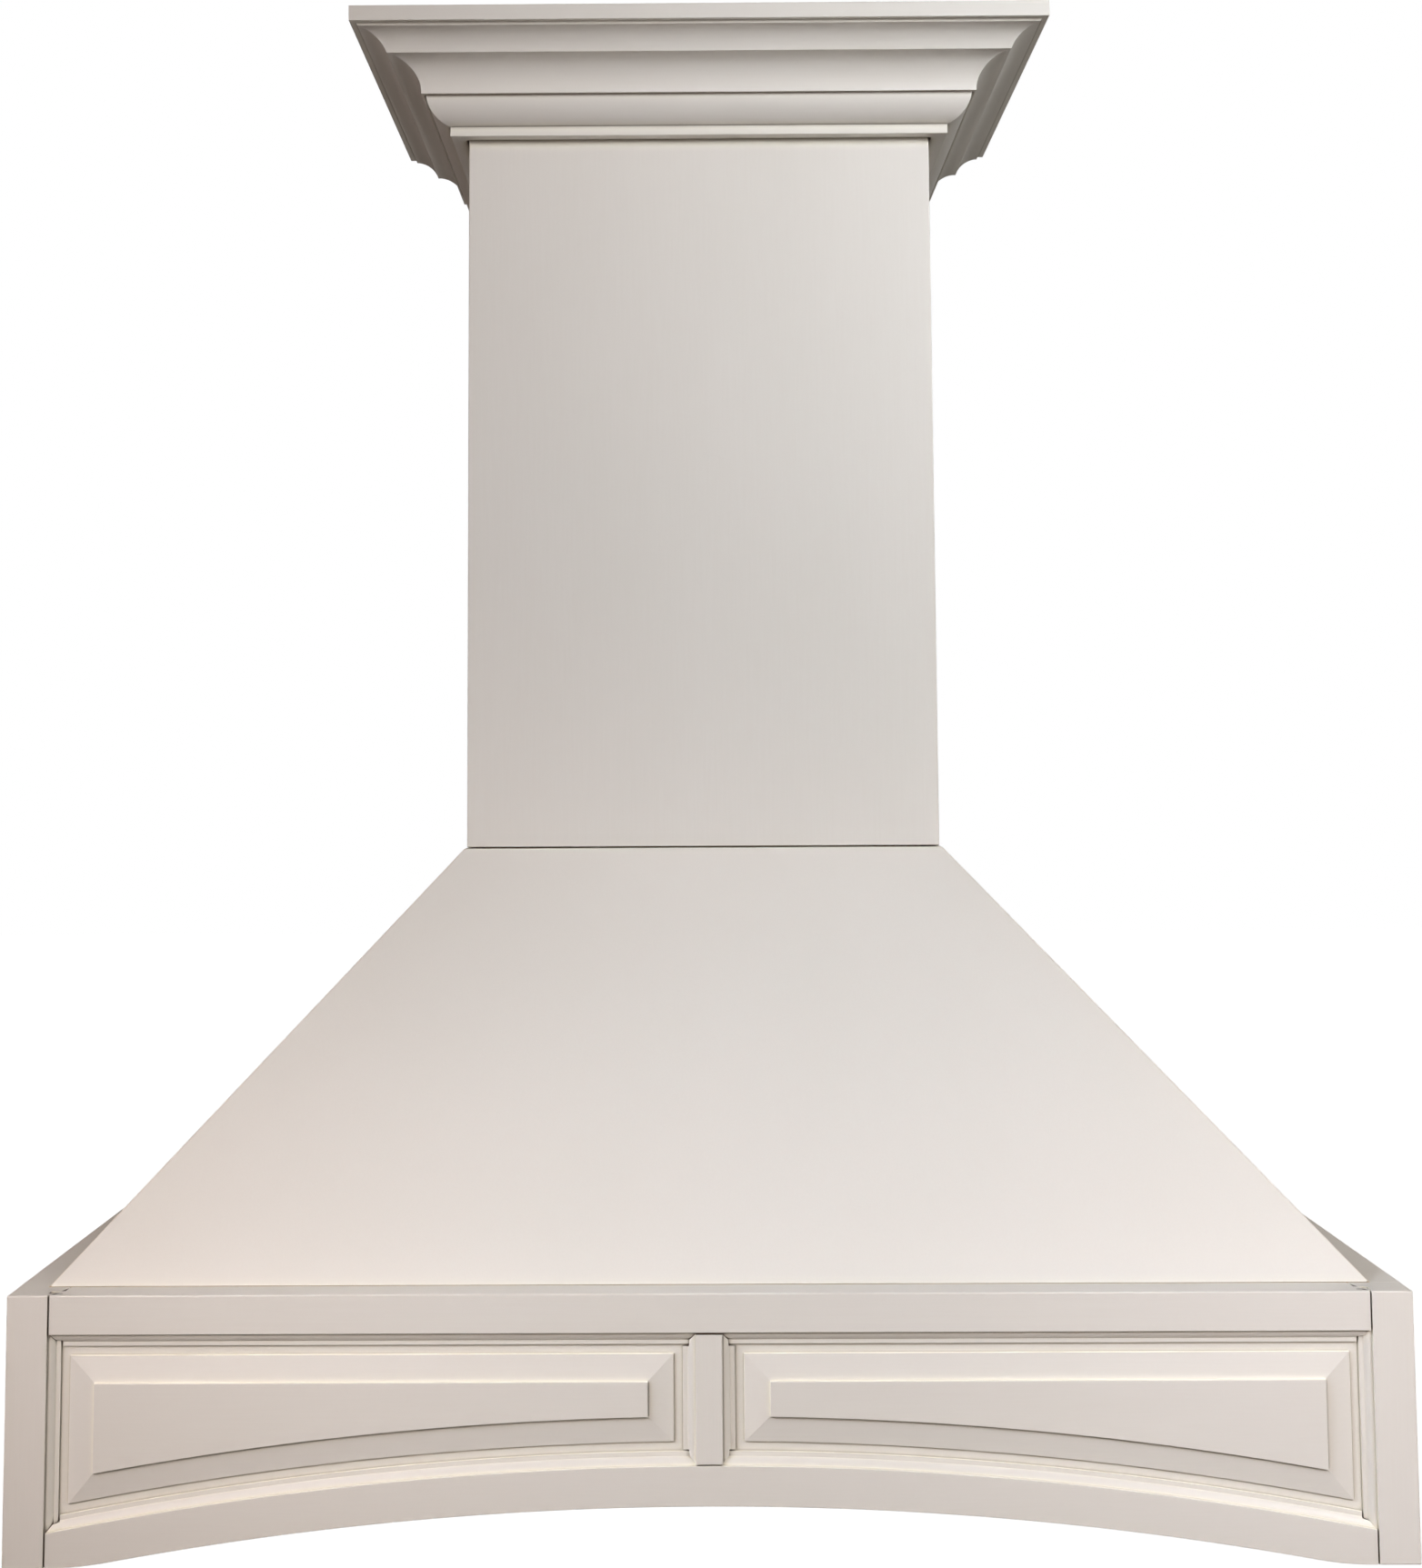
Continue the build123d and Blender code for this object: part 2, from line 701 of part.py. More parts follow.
def crown_screw_lines():
    """Start and direction of each screw from inside the chimney into a crown block."""
    level = top_z - crown_screw_drop
    fronts, sides = crown_block_places()
    lines = [((x, -chimney_inner_depth, level), (0, -1, 0)) for x in fronts]
    for direction in (-1, 1):
        lines += [((direction * chimney_inner_half_width, y, level), (direction, 0, 0)) for y in sides]
    return lines


def crown_blocks():
    """Seven blocks that join the crown to the chimney."""
    fronts, sides = crown_block_places()
    half = crown_block_width / 2
    holes = screw_holes(crown_screw_lines())
    pieces = {}
    for name, x in zip(("left", "middle", "right"), fronts):
        wedge = extrude(out_of_front(x + half) * crown_block_section(), crown_block_width)
        pieces[f"crown_block_front_{name}"] = wedge - holes
    for name, y in zip(("rear", "fore"), sides):
        wedge = extrude(out_of_left_side(y - half) * crown_block_section(), crown_block_width)
        pieces |= both_sides(f"crown_block_{name}", wedge - holes)
    return pieces


# ---------------------------------------------------------------- screws


def screw_stretch(low_z, low_radius, high_z, high_radius):
    """Length of a screw or of its hole between two levels, even or tapered."""
    low = Pos(0, 0, low_z) * RegularPolygon(low_radius, screw_sides)
    high = Pos(0, 0, high_z) * RegularPolygon(high_radius, screw_sides)
    return loft([low, high], ruled=True)


def screw():
    """Countersunk screw driven upwards into wood whose face is at Z = 0."""
    neck_z = screw_recess + screw_head_height
    tip_z = screw_length - screw_tip_length
    head = screw_stretch(screw_recess, screw_head_radius, neck_z, screw_shank_radius)
    shank = screw_stretch(neck_z, screw_shank_radius, tip_z, screw_shank_radius)
    point = screw_stretch(tip_z, screw_shank_radius, screw_length, screw_tip_radius)
    return head + shank + point


def screw_hole():
    """Hole for the same screw, with its countersink."""
    mouth_radius = screw_head_radius + screw_hole_clearance
    shank_radius = screw_shank_radius + screw_hole_clearance
    neck_z = screw_recess + screw_head_height
    mouth = screw_stretch(0, mouth_radius, screw_recess, mouth_radius)
    sink = screw_stretch(screw_recess, mouth_radius, neck_z, shank_radius)
    return mouth + sink + screw_stretch(neck_z, shank_radius, screw_length, shank_radius)


def placed(shape, lines):
    """Copies of a shape, each from a start point along a direction."""
    return [Plane(origin=start, z_dir=direction) * shape for start, direction in lines]


def screws(lines):
    """Separate screws in one group."""
    return Compound(children=placed(screw(), lines))


def screw_holes(lines):
    """Holes for the screws on the same lines."""
    return placed(screw_hole(), lines)


# ---------------------------------------------------------------- assembly


def both_sides(name, left_piece):
    """A piece and its mirror image, named by side."""
    return {f"{name}_left": left_piece, f"{name}_right": other_side(left_piece)}


def all_pieces():
    """Every sub-part by name."""
    pieces = {
        "top_rail": top_rail(),
        "arched_bottom_rail": bottom_rail(),
        "mullion": mullion(),
        "lower_wall_rail": lower_wall_rail(),
        "insert_board": insert_board(),
        "insert_cleat_front": insert_cleat_front(),
        "cone_seat_front": cone_seat_front(),
        "cone_front": cone_front(),
        "upper_wall_rail": upper_wall_rail(),
        "chimney_front": chimney_front(),
        "ceiling_rail": ceiling_rail(),
        "crown_front": crown_front(),
        "insert_board_screws": screws(insert_screw_lines()),
        "ring_screws": screws(ring_screw_lines()),
        "crown_screws": screws(crown_screw_lines()),
    }
    pieces |= both_sides("post", post())
    pieces |= both_sides("raised_panel", raised_panel())
    pieces |= both_sides("apron_side", side_panel())
    pieces |= both_sides("insert_cleat", insert_cleat_side())
    pieces |= both_sides("cone_seat", cone_seat_side())
    pieces |= both_sides("cone_side", cone_side())
    pieces |= both_sides("hip_batten", hip_batten())
    pieces |= both_sides("cone_rear_batten", cone_rear_batten())
    pieces |= both_sides("chimney_side", chimney_side())
    pieces |= both_sides("corner_batten", corner_batten())
    pieces |= both_sides("crown_return", crown_return())
    pieces |= {f"cone_ring_{side}": board for side, board in cone_ring().items()}
    pieces |= {f"chimney_ring_{side}": board for side, board in chimney_ring().items()}
    return pieces | crown_blocks()


os.makedirs("parts", exist_ok=True)
for name, piece in all_pieces().items():
    export_step(piece, f"parts/{name}.step")
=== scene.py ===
import json
from math import asin, atan2, cos, pi, radians, sin, sqrt, tan

import bmesh
import bpy
from mathutils import Matrix, Vector


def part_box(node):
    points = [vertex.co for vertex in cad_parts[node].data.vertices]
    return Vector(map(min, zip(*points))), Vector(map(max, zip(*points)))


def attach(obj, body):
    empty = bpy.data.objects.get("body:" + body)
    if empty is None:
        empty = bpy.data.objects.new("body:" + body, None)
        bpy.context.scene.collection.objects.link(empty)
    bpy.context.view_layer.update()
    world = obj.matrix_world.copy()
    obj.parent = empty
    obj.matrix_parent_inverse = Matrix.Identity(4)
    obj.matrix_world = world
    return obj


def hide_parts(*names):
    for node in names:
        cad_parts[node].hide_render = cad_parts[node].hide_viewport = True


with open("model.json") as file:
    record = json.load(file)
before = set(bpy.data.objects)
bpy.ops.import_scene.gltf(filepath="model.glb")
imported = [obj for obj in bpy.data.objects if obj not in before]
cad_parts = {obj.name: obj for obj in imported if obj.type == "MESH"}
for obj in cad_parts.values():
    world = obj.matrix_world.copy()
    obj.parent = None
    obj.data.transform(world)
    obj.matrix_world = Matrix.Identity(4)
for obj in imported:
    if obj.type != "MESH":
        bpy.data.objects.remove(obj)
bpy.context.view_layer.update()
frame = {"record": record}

# A painted wooden cover for a wall range hood. Shapes are worked out in millimetres, in the frame of
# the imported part: the wall is Y = 0, the front faces -Y and Z is up.
MM = 0.001


def limits(node):
    """Lowest and highest corner of a node, in millimetres."""
    low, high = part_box(node)
    return low / MM, high / MM


# ---- sizes read from the frame

post_low, post_high = limits("post_left")
skin_low, skin_high = limits("cone_front")
chimney_low, chimney_high = limits("chimney_front")
crown_low, crown_high = limits("crown_front")
top_rail_low, top_rail_high = limits("top_rail")
cone_ring_low, cone_ring_high = limits("cone_ring_front")
insert_low, insert_high = limits("insert_board")

underside_z = post_low.z
apron_top_z = post_high.z
front_y = post_low.y
frame_back_y = post_high.y
frame_thickness = frame_back_y - front_y
hood_half_width = -post_low.x
seam_z = skin_high.z
skin_thickness = chimney_high.y - chimney_low.y
chimney_half_width = chimney_high.x
chimney_depth = -chimney_low.y
chimney_inner_half_width = chimney_half_width - skin_thickness
chimney_inner_depth = chimney_depth - skin_thickness
ring_half_width = cone_ring_high.x
ring_depth = -cone_ring_high.y
ring_bottom_z = cone_ring_low.z

# ---- sizes of the profiles

# Moulded inner edge of the apron's frame: a quirk, a flat round, a rim and the panels' groove
moulding_width = 8.2
quirk_depth = 2.1
quirk_width = 0.5
round_foot = (5.2, 5.0)  # across and deep
round_bulge = 0.6
groove_setback = 6.5
groove_width = 6.5
groove_depth = 9.5
joint_gap = 1.2
mullion_width = 17.5
bottom_rail_height = 25.3
arch_rise = 37.5
arch_flat = 1.8  # level stretch beside each post
arch_sweep = 20.2  # width of the hollow between the level stretch and the arch

# Steps of a raised panel: margins from the frame's edge, and depths behind the frame's face
panel_margin = 14.2
bevel_width = 16.8
bevel_drop = 2.8
field_setback = 0.3
field_step = 2.1
field_rim = 2.0
tongue_clearance = 0.15
tongue_end_clearance = 1.0
tenon_end_clearance = 0.3

# Cone
cone_lip = 2.0
hip_batten_leg = 30.0
rear_batten_width = 40.0

# Crown moulding, from the top band down to the fillet
band_height = 11.8
band_setback = 5.0
bead_setback = 1.0
bead_height = 2.2
bead_return = 1.5
crown_curves = [  # width, height, bulge and the step after it: two coves and an ovolo
    (18.3, 14.8, -3.4, 2.7),
    (21.5, 25.0, -6.6, 3.4),
    (17.4, 20.9, 4.6, 0.0),
]
crown_gap = 1.5  # clear of the chimney
crown_land = 20.0  # upright part of its back, below the slope
crown_top_width = 30.0

# Softness of the edges: machined and painted arrises, inner corners, and sawn battens
face_easing = 1.2
arch_easing = 1.0
skin_easing = 0.9
batten_easing = 0.7
paint_easing = 0.5
inner_easing = 0.2

# Screws and holes
wall_hole_radius = 3.0
insert_hole_radius = 2.2
cutout_half_width = 350.0
cutout_half_depth = 185.0
cutout_corner_radius = 10.0
insert_screw_offset = 145.0
ring_screw_offset = 55.0
screw_shank_radius = 2.0
screw_root_radius = 1.45
screw_tip_radius = 0.2
screw_head_radius = 4.2
screw_head_height = 2.6
screw_head_rim = 0.2
screw_recess = 0.3
screw_length = 32.0
screw_tip_length = 5.0
screw_clearance = 0.1
thread_pitch = 2.4
thread_end = 1.0
thread_steepness = 5  # the crest takes 2/5 of the pitch
cross_recess = (2.4, 0.55, 1.7)  # half length, half width and depth
cross_taper = 0.4
cross_turn = 0.83  # radians from one screw's cross to the next one's

# Fineness of the curves, and how the meshes are worked
moulding_steps = 8
crown_steps = 16
arch_steps = 72
panel_arch_steps = 48
post_top_steps = 3
cutout_corner_steps = 8
hole_sides = 32
screw_sides = 16
thread_steps = 6  # for each turn
overrun = 1.0  # reach of a cutter past the wood, or of a tenon back into its rail
merge_distance = 0.002
flat_angle = 0.01  # radians: faces that meet flatter than this are one
crease_angle = 0.7  # radians: sharper edges keep a hard line
large_face_weight = 80  # per cent: larger faces lead the shading over the eased edges

# Each board comes from its own place in a log, so that no two show the same figure
log_steps = (137.0, 31.0, 17.0)  # along, across and through the log, from one place to the next
log_width = 90.0
log_thickness = 50.0
crown_log_place = 20
batten_log_place = 30

# Faces left bare, by the cosine of their turn: the frame's back, the skins' insides and the sawn edges
back_facing = 0.8
inward_facing = 0.5
edge_facing = 0.5

opening_half = hood_half_width - (post_high.x - post_low.x - moulding_width)
top_rail_edge_z = top_rail_low.z + moulding_width
post_width = hood_half_width - opening_half
arch_foot_x = opening_half - arch_flat - arch_sweep
arch_radius = (arch_foot_x**2 + arch_rise**2) / (2 * arch_rise)
arch_sweep_radius = arch_sweep * arch_foot_x / arch_rise
arch_centre_z = underside_z + arch_rise - arch_radius
rail_edge_radius = arch_radius + bottom_rail_height
groove_bottom = moulding_width - groove_depth
tongue_front = groove_setback + tongue_clearance
tongue_back = groove_setback + groove_width - tongue_clearance
tenon_depths = (front_y + tongue_front, front_y + tongue_back)
cone_half_width = skin_high.x
cone_depth = -skin_low.y
cone_top_half_width = chimney_half_width + cone_lip
cone_rise = seam_z - apron_top_z
side_run = cone_half_width - cone_top_half_width
front_run = cone_depth - chimney_depth
side_inset = skin_thickness / cos(atan2(side_run, cone_rise))
front_inset = skin_thickness / cos(atan2(front_run, cone_rise))


# ---- outlines


def eased(corners, closed=True, steps=3):
    """Outline from (x, y, radius) corners, each rounded by its radius."""
    points = []
    count = len(corners)
    for index, (x, y, radius) in enumerate(corners):
        corner = Vector((x, y))
        at_end = not closed and index in (0, count - 1)
        if radius == 0 or at_end:
            points.append(corner)
            continue
        before = Vector(corners[index - 1][:2]) - corner
        after = Vector(corners[(index + 1) % count][:2]) - corner
        reach = radius / tan(before.angle(after) / 2)
        reach = min(reach, before.length / 2, after.length / 2)
        start = corner + before.normalized() * reach
        end = corner + after.normalized() * reach
        for step in range(steps + 1):
            t = step / steps
            points.append(start * (1 - t) ** 2 + corner * 2 * t * (1 - t) + end * t**2)
    return points


def bowed(start, end, bulge, steps):
    """Points of a round stretch between two points, bulging to the left of its direction."""
    start, end = Vector(start), Vector(end)
    chord = end - start
    half = chord.length / 2
    radius = (half**2 + bulge**2) / (2 * abs(bulge))
    left = Vector((-chord.y, chord.x)).normalized()
    side = 1 if bulge > 0 else -1
    centre = (start + end) / 2 - left * side * (radius - abs(bulge))
    half_angle = asin(min(1, half / radius))
    points = []
    for step in range(1, steps):
        angle = half_angle * (2 * step / steps - 1)
        points.append(centre + left * side * radius * cos(angle) + chord.normalized() * radius * sin(angle))
    return points


def moulding_front():
    """Moulded edge from the face to the groove: across, depth, and how far its end stays clear of the
    member that it is coped over."""
    face_edge = eased([(-1, 0, 0), (0, 0, paint_easing), (0, quirk_depth, 0)], False)
    profile = [(p.x, p.y, joint_gap) for p in face_edge[1:]]
    quirk = (quirk_width, quirk_depth)
    profile.append((*quirk, quirk_width + joint_gap))
    deep = moulding_width + joint_gap
    for point in bowed(quirk, round_foot, -round_bulge, moulding_steps):
        over_rim = point.y < round_foot[1] - joint_gap
        profile.append((point.x, point.y, point.x + joint_gap if over_rim else deep))
    rim_edge = (moulding_width, round_foot[1])
    rim = eased([(*round_foot, 0), (*rim_edge, paint_easing), (moulding_width, groove_setback, 0)], False)
    return profile + [(p.x, p.y, deep) for p in rim]


def moulding_back():
    """The groove and the edge behind it."""
    deep = moulding_width + joint_gap
    groove_back = groove_setback + groove_width
    corners = [
        (groove_bottom, groove_setback),
        (groove_bottom, groove_back),
        (moulding_width, groove_back),
        (moulding_width, frame_thickness),
    ]
    return [(x, y, deep) for x, y in corners]


def member_outline(face_width, corner_easing):
    """Section of a frame member: across to the moulded edge, depth from the face, and end clearance."""
    outer = eased([(0, 0, 0), (-face_width, 0, corner_easing), (-face_width, frame_thickness, 0)], False)
    points = [(p.x, p.y, joint_gap) for p in reversed(outer[1:-1])]
    points = [(-face_width, frame_thickness, moulding_width + joint_gap)] + points
    return points + moulding_front() + moulding_back()


# ---- meshes


def linked(name, data):
    """Object in the scene, made from a mesh, a lamp or a camera."""
    made = bpy.data.objects.new(name, data)
    bpy.context.scene.collection.objects.link(made)
    return made


def lay_grain(mesh, along, log_place):
    """Coordinates for the wood, in metres: the first runs along the grain, the last through the board."""
    order = {"X": (0, 1, 2), "Y": (1, 0, 2), "Z": (2, 0, 1), "THIN_Y": (0, 2, 1), "THIN_X": (2, 1, 0)}[along]
    along_log, across_log, through_log = [log_place * step for step in log_steps]
    start = Vector((along_log, across_log % log_width, through_log % log_thickness)) * MM
    layer = mesh.attributes.new("grain", "FLOAT_VECTOR", "POINT")
    for vertex, entry in zip(mesh.vertices, layer.data):
        entry.vector = Vector([vertex.co[axis] for axis in order]) + start


def finished(piece, node, grain, material, bare=None, is_bare=lambda normal: False):
    """Smooths the shading, lays grain and finishes, and seats the piece on the frame in place of its node."""
    mesh = piece.data
    lay_grain(mesh, *grain)
    shape = bmesh.new()
    shape.from_mesh(mesh)
    for face in shape.faces:
        face.smooth = True
    for edge in shape.edges:
        if edge.calc_face_angle(0) > crease_angle:
            edge.smooth = False
    shape.to_mesh(mesh)
    shape.free()
    mesh.materials.clear()
    mesh.materials.append(material)
    if bare is not None:
        mesh.materials.append(bare)
    for face in mesh.polygons:
        face.material_index = int(is_bare(face.normal))
    weighted = piece.modifiers.new("even shading", "WEIGHTED_NORMAL")
    weighted.keep_sharp = True
    weighted.weight = large_face_weight
    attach(piece, "root")
    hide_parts(node)


def piece_from(name, shape):
    """Object from a bmesh in millimetres."""
    bmesh.ops.remove_doubles(shape, verts=shape.verts, dist=merge_distance)
    bmesh.ops.dissolve_degenerate(shape, edges=shape.edges, dist=merge_distance)
    bmesh.ops.recalc_face_normals(shape, faces=shape.faces)
    shape.transform(Matrix.Scale(MM, 4))
    mesh = bpy.data.meshes.new(name)
    shape.to_mesh(mesh)
    shape.free()
    return linked(name, mesh)


def lofted(rings, creases=()):
    """Closed skin through rings of as many points each, with hard lines along the creased points."""
    shape = bmesh.new()
    rows = [[shape.verts.new(point) for point in ring] for ring in rings]
    for low, high in zip(rows, rows[1:]):
        for index in range(len(low)):
            after = (index + 1) % len(low)
            shape.faces.new((low[index], low[after], high[after], high[index]))
        for index in creases:
            shape.edges.get((low[index], high[index])).smooth = False
    shape.faces.new(list(reversed(rows[0])))
    shape.faces.new(rows[-1])
    return shape


def hulled(points, easing, segments=3):
    """Board through its corners, with eased edges."""
    shape = bmesh.new()
    for point in points:
        shape.verts.new(point)
    bmesh.ops.convex_hull(shape, input=shape.verts)
    bmesh.ops.dissolve_limit(shape, angle_limit=flat_angle, verts=shape.verts, edges=shape.edges)
    bmesh.ops.bevel(
        shape, geom=list(shape.edges), offset=easing, segments=segments, profile=0.5, affect="EDGES"
    )
    return shape


def box_corners(low, high):
    """Eight corners of a box."""
    return [(x, y, z) for x in (low[0], high[0]) for y in (low[1], high[1]) for z in (low[2], high[2])]


def with_tenons(shape, spans):
    """Adds plain stub tenons, given as lowest and highest corners."""
    for low, high in spans:
        corners = [shape.verts.new(corner) for corner in box_corners(low, high)]
        bmesh.ops.convex_hull(shape, input=corners)
    return shape


def flipped(points):
    """Points on the other side of the hood."""
    return [(-x, y, z) for x, y, z in points]


def circle(radius, height, sides):
    """Points of a circle at a height."""
    angles = [2 * pi * side / sides for side in range(sides)]
    return [Vector((radius * cos(angle), radius * sin(angle), height)) for angle in angles]


def aimed(start, direction):
    """Placement that stands a shape on a point, along a direction."""
    upright = Vector(direction).to_track_quat("Z", "Y").to_matrix().to_4x4()
    return Matrix.Translation(Vector(start)) @ upright


def turned(profile, start, direction, sides):
    """Rings of a turned shape from (height, radius) pairs, along a direction."""
    place = aimed(start, direction)
    return [[place @ point for point in circle(radius, height, sides)] for height, radius in profile]


def cut_away(piece, cutters):
    """Takes cutter shapes out of a piece."""
    for shape in cutters:
        tool = piece_from("cutter", shape)
        cut = piece.modifiers.new("cut", "BOOLEAN")
        cut.operation = "DIFFERENCE"
        cut.solver = "EXACT"
        cut.object = tool
        evaluated = piece.evaluated_get(bpy.context.evaluated_depsgraph_get())
        cut_mesh = bpy.data.meshes.new_from_object(evaluated)
        piece.modifiers.clear()
        old = piece.data
        piece.data = cut_mesh
        cut_mesh.name = piece.name
        bpy.data.meshes.remove(old)
        bpy.data.objects.remove(tool)


# ---- finishes


def linear(hex_colour):
    """Linear RGBA from an sRGB hex colour."""
    values = [int(hex_colour[i:i + 2], 16) / 255 for i in (1, 3, 5)]
    return (*[v / 12.92 if v <= 0.04045 else ((v + 0.055) / 1.055) ** 2.4 for v in values], 1.0)


def add(tree, kind, inputs=None, out=0, stops=(), **settings):
    """Adds a node with its settings and links, and gives the output that is used. The first two colour
    stops of a ramp are those that it comes with."""
    made = tree.nodes.new("ShaderNode" + kind)
    for name, value in settings.items():
        setattr(made, name, value)
    for key, value in (inputs or {}).items():
        if isinstance(value, bpy.types.NodeSocket):
            tree.links.new(value, made.inputs[key])
        else:
            made.inputs[key].default_value = value
    for index, (position, colour) in enumerate(stops):
        ramp = made.color_ramp.elements
        stop = ramp[index] if index < 2 else ramp.new(position)
        stop.position = position
        stop.color = linear(colour)
    return made.outputs[out] if made.outputs else None


def new_material(name):
    """Empty node material and its tree."""
    material = bpy.data.materials.new(name)
    material.use_nodes = True
    material.node_tree.nodes.clear()
    return material, material.node_tree


def blotches(tree, long_mm, short_mm, detail=3.0, distortion=0.0):
    """Uneven pattern in the wood or its coat, long_mm along the grain and short_mm across it."""
    place = add(tree, "Attribute", out="Vector", attribute_name="grain")
    scale = (1 / (long_mm * MM), 1 / (short_mm * MM), 1 / (short_mm * MM))
    scaled = add(tree, "VectorMath", {0: place, 1: scale}, operation="MULTIPLY")
    return add(tree, "TexNoise", {
        "Vector": scaled, "Scale": 1.0, "Detail": detail, "Distortion": distortion,
    }, "Fac")


def toned(tree, colour, tone, pattern, bare_at, full_at, strength):
    """Lays a tone over a colour: none of it where the pattern is bare_at, and the most at full_at."""
    share = add(tree, "MapRange", {
        "Value": pattern, "From Min": bare_at, "From Max": full_at, "To Min": 0.0, "To Max": strength,
    })
    return add(tree, "Mix", {"Factor": share, "A": colour, "B": linear(tone)}, "Result", data_type="RGBA")


def satin_paint():
    """Off-white satin lacquer, sprayed on maple. The eye gets a soft sheen, a trace of grain along each
    member, painted light that makes the recesses paler and creamier, painted brown shade in the corners that
    look down or away from the light and in open joints, and paler edges, partly worn and partly a painted
    highlight."""
    material, tree = new_material("satin_off_white_lacquer")
    clouds = blotches(tree, 240, 90)
    # Maple's pores are under 0.2 mm wide, and are drawn 1.1 mm wide so that they show
    grain = blotches(tree, 38, 1.1, 4.0)
    # The fine dimples that a sprayed coat dries with
    peel = blotches(tree, 1.7, 1.7, 2.0)
    body = add(tree, "Mix", {
        "Factor": clouds, "A": linear("#E6E1DA"), "B": linear("#E9E4DE"),
    }, "Result", data_type="RGBA")
    streaked = toned(tree, body, "#DED7CE", grain, 0.35, 0.7, 0.12)

    # Painted light: paler, creamier paint in recesses about 10 mm wide, standing in for light bounced inside
    # them
    open_sky = add(tree, "AmbientOcclusion", {"Distance": 10 * MM}, "AO", samples=8)
    painted_recess_light = toned(tree, streaked, "#FCF7E7", open_sky, 0.95, 0.6, 1.0)

    # Painted shade, in brown: under the recesses, in lines within 5 mm of the corners in the lee of the
    # light,
    # and in every open joint: each value with where its shade is full, where it ends and how strong it is
    light_side = (-0.5, 0.0, 0.86)
    normal = add(tree, "NewGeometry", out="Normal")
    slope = add(tree, "SeparateXYZ", {0: normal}, "Z")
    lee = add(tree, "VectorMath", {0: normal, 1: light_side}, "Value", operation="DOT_PRODUCT")
    near_sky = add(tree, "AmbientOcclusion", {"Distance": 5 * MM}, "AO", samples=12)
    recess, under, corner, sheltered, painted_crevice_shade = [add(tree, "MapRange", {
        "Value": value, "From Min": low, "From Max": high, "To Min": strength, "To Max": 0.0,
    }) for value, low, high, strength in (
        (open_sky, 0.5, 0.82, 1.0),
        (slope, -0.5, -0.1, 0.85),
        (near_sky, 0.66, 0.85, 1.0),
        (lee, -0.1, 0.08, 0.95),
        (near_sky, 0.2, 0.45, 0.97),
    )]
    painted_recess_shade = add(tree, "Math", {0: recess, 1: under}, operation="MULTIPLY")
    line = add(tree, "Math", {0: corner, 1: sheltered}, operation="MULTIPLY")
    painted_crevice_and_corner_shade = add(tree, "Math", {0: painted_crevice_shade, 1: line}, operation="MAXIMUM")
    shade = add(tree, "Math", {0: painted_recess_shade, 1: painted_crevice_and_corner_shade}, operation="MAXIMUM")
    # Mixes the brown painted shade into the paint's colour
    shaded = add(tree, "Mix", {
        "Factor": shade, "A": painted_recess_light, "B": linear("#4B2C14"),
    }, "Result", data_type="RGBA")

    # Paler edges: partly wear, partly a painted highlight along the arrises
    round_edge = add(tree, "Bevel", {"Radius": 0.7 * MM}, samples=4)
    facing = add(tree, "VectorMath", {0: round_edge, 1: normal}, "Value", operation="DOT_PRODUCT")
    rubbed = toned(tree, shaded, "#F4F0EA", facing, 0.99, 0.85, 0.55)

    # Sheen and touch
    sheen = add(tree, "MapRange", {
        "Value": clouds, "From Min": 0.3, "From Max": 0.7, "To Min": 0.36, "To Max": 0.42,
    })
    relief = add(tree, "Math", {0: peel, 1: 1.5, 2: grain}, operation="MULTIPLY_ADD")
    bump = add(tree, "Bump", {"Height": relief, "Strength": 0.3, "Distance": 0.03 * MM})
    shader = add(tree, "BsdfPrincipled", {
        "Base Color": rubbed, "Roughness": sheen, "Normal": bump, "IOR": 1.5, "Specular IOR Level": 0.5,
    })
    add(tree, "OutputMaterial", {"Surface": shader})
    return material


def unpainted(tree, colour, pores, relief, depth_mm, roughness, gloss):
    """Dry surface of bare wood, with its pores sunk into it."""
    bump = add(tree, "Bump", {"Height": pores, "Strength": relief, "Distance": depth_mm * MM})
    shader = add(tree, "BsdfPrincipled", {
        "Base Color": colour, "Roughness": roughness, "Normal": bump, "IOR": 1.45,
        "Specular IOR Level": gloss,
    })
    add(tree, "OutputMaterial", {"Surface": shader})


def pine():
    """Planed pine battens: pale early wood, thin tan late-wood lines that close into rings on the ends,
    fine pores along the grain and a dry, slightly fuzzy surface."""
    material, tree = new_material("planed_pine")
    # The pith lies 38 mm to one side of the piece and 22 mm under it, and the rings wander by up to 9 mm
    place = add(tree, "Attribute", out="Vector", attribute_name="grain")
    wander = blotches(tree, 260, 60, 2.0)
    ring_gap = 3.4 * MM
    pith = add(tree, "VectorMath", {0: place, 1: (0, 38 * MM, 22 * MM)})
    flat = add(tree, "VectorMath", {0: pith, 1: (0.03, 1, 1)}, operation="MULTIPLY")
    radius = add(tree, "VectorMath", {0: flat}, "Value", operation="LENGTH")
    warped = add(tree, "Math", {0: wander, 1: 9 * MM, 2: radius}, operation="MULTIPLY_ADD")
    turns = add(tree, "Math", {0: warped, 1: ring_gap}, operation="DIVIDE")
    ring = add(tree, "Math", {0: turns}, operation="FRACT")
    stops = ((0.0, "#E6CDA2"), (1.0, "#DFC294"), (0.82, "#C79C66"), (0.45, "#E9D3AC"))
    rings = add(tree, "ValToRGB", {"Fac": ring}, stops=stops)
    # Resin canals are about 0.2 mm wide, and are drawn 0.55 mm wide so that they show
    pores = blotches(tree, 34, 0.55)
    wood = toned(tree, rings, "#B98F5E", pores, 0.5, 0.75, 0.3)
    unpainted(tree, wood, pores, relief=0.5, depth_mm=0.12, roughness=0.68, gloss=0.3)
    return material


